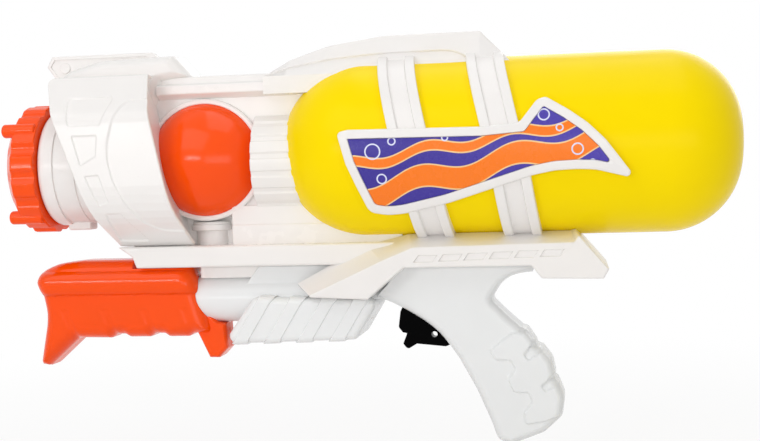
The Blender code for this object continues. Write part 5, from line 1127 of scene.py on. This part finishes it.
def add_beam(half):
    """Top beam over the tank: a flat crown, a sloping band and a lower band set back under a step."""
    side = half.side
    line = rounded(BEAM_TOP, closed=False)
    first, last = BEAM_STEP_END
    ramp = {first + (last - first) * k / BEAM_RAMP_STEPS for k in range(BEAM_RAMP_STEPS + 1)}
    knots = sorted({x for x, _ in line} | ramp)
    heights = np.interp(knots, [p[0] for p in line], [p[1] for p in line])
    rings = []
    for x, top in zip(knots, heights):
        top = max(top, BEAM_BASE + 0.0006)
        run = min(1.0, max(0.0, (x - first) / (last - first)))
        share = max(0.04, BEAM_STEP_SHARE * math.sqrt(1 - run ** 2))
        d = BEAM_CROWN + (BEAM_HALF_WIDTH - BEAM_CROWN) * (1 - share)
        z = BEAM_BASE + share * (top - BEAM_BASE)
        back = BEAM_STEP * min(1.0, share / BEAM_STEP_SHARE * 1.5)
        section = [(SEAM, BEAM_BURIED), (SEAM, top), (BEAM_CROWN, top, 0.0020), (d, z, 0.0006),
                   (d - back, z - 0.4 * back, 0.0003), (BEAM_HALF_WIDTH - 0.2 * back, BEAM_BASE, 0.0004),
                   (BEAM_HALF_WIDTH - 0.001, BEAM_BURIED)]
        rings.append([(x, side * d, TANK_TOP + z) for d, z in rounded(section, steps=ROUND_STEPS)])
    half.add(skin, rings)


def on_tank(side, x, height, z):
    """Point at a height over the tank's wall, at a level z counted from its axis."""
    radius = TANK_R + height
    return (x, side * math.sqrt(radius ** 2 - z ** 2), TANK_Z + z)


def strap(bm, side, line, start, end):
    """Band with two raised rails, run round the tank between two angles."""
    xa, za, xb, zb = line
    half, inner = STRAP_WIDTH / 2, STRAP_WIDTH / 2 - STRAP_RAIL
    section = [(-half, -0.002), (-half, STRAP_HEIGHT, 0.0008), (-inner, STRAP_HEIGHT, 0.0007),
               (0.0005 - inner, STRAP_FLOOR, 0.0004), (inner - 0.0005, STRAP_FLOOR, 0.0004),
               (inner, STRAP_HEIGHT, 0.0007), (half, STRAP_HEIGHT, 0.0008), (half, -0.002)]
    outline = rounded(section, steps=ROUND_STEPS)
    rings = []
    for k in range(STRAP_STEPS + 1):
        angle = start + (end - start) * k / STRAP_STEPS
        middle = xa + (xb - xa) * (TANK_R * math.sin(angle) - za) / (zb - za)
        ring = []
        for u, height in outline:
            radius = TANK_R + height
            ring.append((middle + u, side * radius * math.cos(angle), TANK_Z + radius * math.sin(angle)))
        rings.append(ring)
    skin(bm, rings)


def add_cradle(half):
    """Straps round the tank, and the label frame on the left."""
    side = half.side
    for upper, lower in zip(UPPER_STRAPS, LOWER_STRAPS):
        if side == LEFT:
            half.add(strap, side, upper, STRAP_TOP_ANGLE, math.asin(upper[3] / TANK_R))
            half.add(strap, side, lower, math.asin(lower[1] / TANK_R), STRAP_LOW_ANGLE)
        else:
            half.add(strap, side, (*upper[:2], *lower[2:]), STRAP_TOP_ANGLE, STRAP_LOW_ANGLE)
    if side == LEFT:
        top, rim = BADGE_HEIGHT, BADGE_RIM
        levels = [(0.0, 0.0002)]
        levels += [(shrink, top - back) for back, shrink in quarter(BADGE_EDGE, BADGE_EDGE, 4)]
        levels += [(rim - 0.0009, top), (rim - 0.0003, top - 0.0002), (rim, top - 0.0007), (rim, 0.0002)]
        rings = []
        for shrink, height in levels:
            rings.append([on_tank(side, x, height, z) for x, z in rounded(inset(BADGE, shrink))])
        half.add(skin, rings, closed=True)


def build_label(look):
    """Printed sheet that follows the tank's curve inside the label frame."""
    outline = rounded(inset(BADGE, BADGE_RIM + FIT / 2))
    bm = bmesh.new()
    bm.faces.new([bm.verts.new((x, 0.0, z)) for x, z in outline])
    for k in LABEL_CUTS:
        parts = bm.verts[:] + bm.edges[:] + bm.faces[:]
        bmesh.ops.bisect_plane(bm, geom=parts, plane_co=(0, 0, LABEL_STRIP * k), plane_no=(0, 0, 1))
    bmesh.ops.triangulate(bm, faces=bm.faces)
    thick = bmesh.ops.extrude_face_region(bm, geom=bm.faces[:])
    front = {v for v in thick["geom"] if isinstance(v, bmesh.types.BMVert)}
    for v in bm.verts:
        height = LABEL_HEIGHT if v in front else LABEL_HEIGHT - LABEL_THICKNESS
        v.co = on_tank(LEFT, v.co.x, height, v.co.z)
    piece("label_sheet", bm, look, "body", "side_label")


def edge_fall(away, edge, fall):
    """Step back of a rounded edge at a distance from it."""
    lack = 1 - np.clip(away / edge, 0.0, 1.0)
    return fall * (1 - np.sqrt(1 - lack ** 2))


def ruled_half(bm, side, leading, trailing, depth_of, ease=1.0):
    """Half of a moulding, ruled between two edge curves and as deep at each spot as a function says."""
    shares = [1 - (1 - k / RULED_DOWN) ** ease for k in range(RULED_DOWN + 1)]
    starts = along(leading, [share * line_length(leading) for share in shares])
    ends = along(trailing, [share * line_length(trailing) for share in shares])
    steps = [0.5 - 0.5 * math.cos(math.pi * k / RULED_ACROSS) for k in range(RULED_ACROSS + 1)]
    spots = []
    for (xa, za), (xb, zb) in zip(starts, ends):
        spots += [(xa + (xb - xa) * s, za + (zb - za) * s) for s in steps]
    depth = depth_of(spots)
    rings = []
    for k, (start, end) in enumerate(zip(starts, ends)):
        row = range(k * len(steps), (k + 1) * len(steps))
        ring = [(spots[i][0], side * depth[i], spots[i][1]) for i in row]
        rings.append(ring + [(end[0], side * SEAM, end[1]), (start[0], side * SEAM, start[1])])
    skin(bm, rings)


def grip_half(bm, side):
    """Pistol grip with rounded front and back edges and raised pads."""
    front, back = rounded(GRIP_FRONT, closed=False), rounded(GRIP_BACK, closed=False)

    def depth(spots):
        away = np.minimum(nearest(spots, front), nearest(spots, back))
        pads = GRIP_PAD_HEIGHT * pressed(spots, rounded(GRIP_PAD), GRIP_PAD_EDGE)
        return GRIP_HALF_WIDTH - edge_fall(away, GRIP_EDGE, GRIP_FALL) + pads

    ruled_half(bm, side, GRIP_TOP + front, [GRIP_TOP_REAR] + back, depth, 1.5)


def rib_tool(bm, side, x):
    """Slanted band across the pump block, with sloping sides."""
    band = lifted(BLOCK_RIB, PUMP_Z, x)
    levels = ((-0.002, 0.0006), (BLOCK_HALF_WIDTH - 0.001, 0.0006), (BLOCK_HALF_WIDTH + 0.002, -0.0006))
    layered(bm, side, [(depth, offset(band, -grow)) for depth, grow in levels])


def build_frame(side, look):
    """Half of the lower moulding: ribbed pump block and pistol grip."""
    half = Half(side, FRAME_SCREWS)
    shape = lifted(BLOCK, PUMP_Z)
    half.add(slab, shape, side, SEAM, BLOCK_HALF_WIDTH, BLOCK_EDGE, steps=8)
    proud = inset(shape, -0.8 * BLOCK_RIB_HEIGHT)
    for k in range(BLOCK_RIBS):
        over = new(slab, proud, side, SEAM, BLOCK_HALF_WIDTH + BLOCK_RIB_HEIGHT, BLOCK_EDGE, steps=8)
        half.put(carve(over, new(rib_tool, side, BLOCK_RIB_X + k * BLOCK_RIB_PITCH), operation="INTERSECT"))
    half.add(slab, CORE, side, SEAM, CORE_HALF_WIDTH, 0.0012)
    room = new(prism, TRIGGER_SLOT, side, -0.004, TRIGGER_HALF_WIDTH + FIT)
    half.put(carve(new(grip_half, side), room))
    piece(f"grip_{hand(side)}_shell", half.bm, look, "body", f"frame_{hand(side)}")


def handle_half(bm, side):
    """Fore-grip with rounded edges, a bulge along its upper side and slanted valleys between finger pads."""
    top = rounded(lifted(HANDLE_TOP, PUMP_Z), closed=False)
    low = rounded(lifted(HANDLE_LOW, PUMP_Z), closed=False)
    outline = top + low[::-1] + top[:1]

    def depth(spots):
        rise = np.array(spots)[:, 1] - PUMP_Z - HANDLE_BULGE_RISE
        swell = np.sqrt(1 - np.clip(rise / HANDLE_BULGE_HALF, -1.0, 1.0) ** 2)
        wide = HANDLE_SIDE_WIDTH + HANDLE_BULGE * swell
        for k in range(HANDLE_GROOVES):
            valley = lifted(HANDLE_GROOVE, PUMP_Z, HANDLE_GROOVE_X + k * HANDLE_GROOVE_PITCH)
            wide -= HANDLE_GROOVE_DEPTH * pressed(spots, valley, HANDLE_GROOVE_EDGE)
        return wide - edge_fall(nearest(spots, outline), HANDLE_EDGE, HANDLE_FALL)

    ruled_half(bm, side, top, low, depth)


def build_handle(side, look):
    """Half of the sliding fore-grip."""
    bore = new(rod, PUMP_FRONT_X - 0.001, 0.0, PUMP_R + FIT, (0, 0, PUMP_Z), "X", 96)
    step_x, step_z = HANDLE_STEP
    under_rail = new(block, (step_x, -0.05, PUMP_Z + step_z), (PUMP_REAR_X, 0.05, RAIL_TOP_Z))
    half = Half(side, HANDLE_SCREWS)
    half.put(carve(new(handle_half, side), bore, under_rail))
    half.add(slab, lifted(HANDLE_LEG, PUMP_Z), side, SEAM, HANDLE_LEG_HALF_WIDTH, 0.0018, 0.0040)
    piece(f"handle_{hand(side)}_shell", half.bm, look, "pump", f"pump_handle_{hand(side)}")


def build_pump(look):
    """Open pump tube."""
    tube = new(turned, [(PUMP_FRONT_X, PUMP_BORE_R), (PUMP_FRONT_X, PUMP_R, 0.0008),
                        (PUMP_REAR_X, PUMP_R, 0.0003), (PUMP_REAR_X, PUMP_BORE_R)],
               (0, 0, PUMP_Z), "X", 112, closed=True)
    piece("pump_tube", tube, look, "body", "pump_cylinder")


def build_trigger(look):
    """Flat trigger with a small hole."""
    bm = new(slab, TRIGGER, RIGHT, -TRIGGER_HALF_WIDTH, TRIGGER_HALF_WIDTH, 0.0007, steps=4, both=True)
    x, z = TRIGGER_HOLE
    reach = TRIGGER_HALF_WIDTH + 0.002
    bm = carve(bm, new(rod, -reach, reach, TRIGGER_HOLE_R, (x, 0, z), "Y"))
    piece("trigger_lever", bm, look, "trigger", "trigger")


def build_spring(look):
    """Valve coil, as its own copy of the CAD node's mesh. The real coil shortens as the plunger comes in;
    this one keeps its length.
    """
    bm = bmesh.new()
    bm.from_mesh(frame["nodes"]["valve_spring"].data)
    coil = piece("valve_coil", bm, look, "body", "valve_spring")
    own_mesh(coil)


def area_light(name, place, size, power):
    lamp = bpy.data.lights.new(name, "AREA")
    lamp.shape = "RECTANGLE"
    lamp.size, lamp.size_y = size
    lamp.energy = power
    made = bpy.data.objects.new(name, lamp)
    made.location = place
    made.rotation_euler = (VIEW_TARGET - Vector(place)).to_track_quat("-Z", "Y").to_euler()
    bpy.context.scene.collection.objects.link(made)


def background_rays(tree):
    """Share that is 1 for rays that show the background: camera, glossy and transmission rays."""
    path = tree.nodes.new("ShaderNodeLightPath")
    total = path.outputs["Is Camera Ray"]
    for name in ("Is Glossy Ray", "Is Transmission Ray"):
        both = tree.nodes.new("ShaderNodeMath")
        both.operation = "MAXIMUM"
        tree.links.new(total, both.inputs[0])
        tree.links.new(path.outputs[name], both.inputs[1])
        total = both.outputs[0]
    return total


def build_world():
    """White background that lights the object softly."""
    world = bpy.data.worlds.new("studio")
    bpy.context.scene.world = world
    world.use_nodes = True
    tree = world.node_tree
    soft = tree.nodes["Background"]
    soft.inputs["Strength"].default_value = WORLD_STRENGTH
    plain = tree.nodes.new("ShaderNodeBackground")
    for shader in (soft, plain):
        shader.inputs["Color"].default_value = (1.0, 1.0, 1.0, 1.0)
    mixed = tree.nodes.new("ShaderNodeMixShader")
    tree.links.new(background_rays(tree), mixed.inputs[0])
    tree.links.new(soft.outputs[0], mixed.inputs[1])
    tree.links.new(plain.outputs[0], mixed.inputs[2])
    tree.links.new(mixed.outputs[0], tree.nodes["World Output"].inputs["Surface"])


def build_floor(level):
    """Pale paper that keeps the shadow and shows as white further out."""
    bm = bmesh.new()
    bmesh.ops.create_grid(bm, x_segments=1, y_segments=1, size=FLOOR_HALF_SIZE)
    floor = loose(bm, "floor")
    floor.location = (VIEW_TARGET.x, 0.0, level)
    look = Look("floor_paper", "floor")
    look.set("Base Color", look.mix(look.noise(3.0), (0.86, 0.86, 0.86, 1.0), (0.90, 0.90, 0.90, 1.0)))
    look.set("Roughness", 0.9)
    tree = look.tree
    glow = tree.nodes.new("ShaderNodeEmission")
    away = tree.nodes.new("ShaderNodeVectorMath")
    away.operation = "LENGTH"
    look.give(away.inputs[0], look.place)
    share = look.spread(away.outputs["Value"], *FLOOR_FADE, *FLOOR_WHITE)
    mixed = tree.nodes.new("ShaderNodeMixShader")
    tree.links.new(look.math("MULTIPLY", background_rays(tree), share), mixed.inputs[0])
    tree.links.new(look.shader.outputs[0], mixed.inputs[1])
    tree.links.new(glow.outputs[0], mixed.inputs[2])
    tree.links.new(mixed.outputs[0], tree.nodes["Material Output"].inputs["Surface"])
    floor.data.materials.append(look.material)


def build_camera():
    lens = bpy.data.cameras.new("camera")
    lens.lens = VIEW_LENS
    lens.sensor_width = SENSOR_WIDTH
    lens.clip_start = 0.01
    camera = bpy.data.objects.new("camera", lens)
    level = math.cos(VIEW_ELEVATION)
    back = Vector((math.sin(VIEW_YAW) * level, -math.cos(VIEW_YAW) * level, math.sin(VIEW_ELEVATION)))
    right = Vector((math.cos(VIEW_YAW), math.sin(VIEW_YAW), 0.0))
    up = back.cross(right)
    across = right * math.cos(VIEW_ROLL) - up * math.sin(VIEW_ROLL)
    above = right * math.sin(VIEW_ROLL) + up * math.cos(VIEW_ROLL)
    turn = Matrix((across, above, back)).transposed().to_4x4()
    camera.matrix_world = Matrix.Translation(VIEW_TARGET + back * VIEW_DISTANCE) @ turn
    bpy.context.scene.collection.objects.link(camera)
    bpy.context.scene.camera = camera


def dress_inner_nodes(looks):
    """Give every CAD node that stays in view its slot's material."""
    slots = {entry["node"]: entry["material_slot"] for entry in frame["record"]["subparts"]}
    for name, node in frame["nodes"].items():
        if not node.hide_render:
            node.data.materials.clear()
            node.data.materials.append(looks[slots[name]])


def main():
    looks = {slot: plastic(slot, *values) for slot, values in PLASTICS.items()}
    looks.update(label=label_print(), rubber=rubber(), hose=clear_hose(), steel=steel())
    build_tank(looks["yellow"])
    build_cap(looks["orange"])
    build_ball(looks["orange"], looks["warm_white"])
    build_dial(looks["orange"])
    build_collar(looks["warm_white"])
    build_dial_screw(looks["steel"])
    for side in (LEFT, RIGHT):
        build_shroud(side, looks["warm_white"])
        build_housing(side, looks["warm_white"])
        build_frame(side, looks["cool_white"])
        build_handle(side, looks["orange"])
    build_label(looks["label"])
    build_pump(looks["cool_white"])
    build_trigger(looks["black"])
    build_spring(looks["steel"])
    dress_inner_nodes(looks)
    build_camera()
    build_world()
    build_floor(cad_box[0].z - FLOOR_DROP)
    for light in LIGHTS:
        area_light(*light)
    bpy.context.scene.view_settings.view_transform = "Standard"


main()
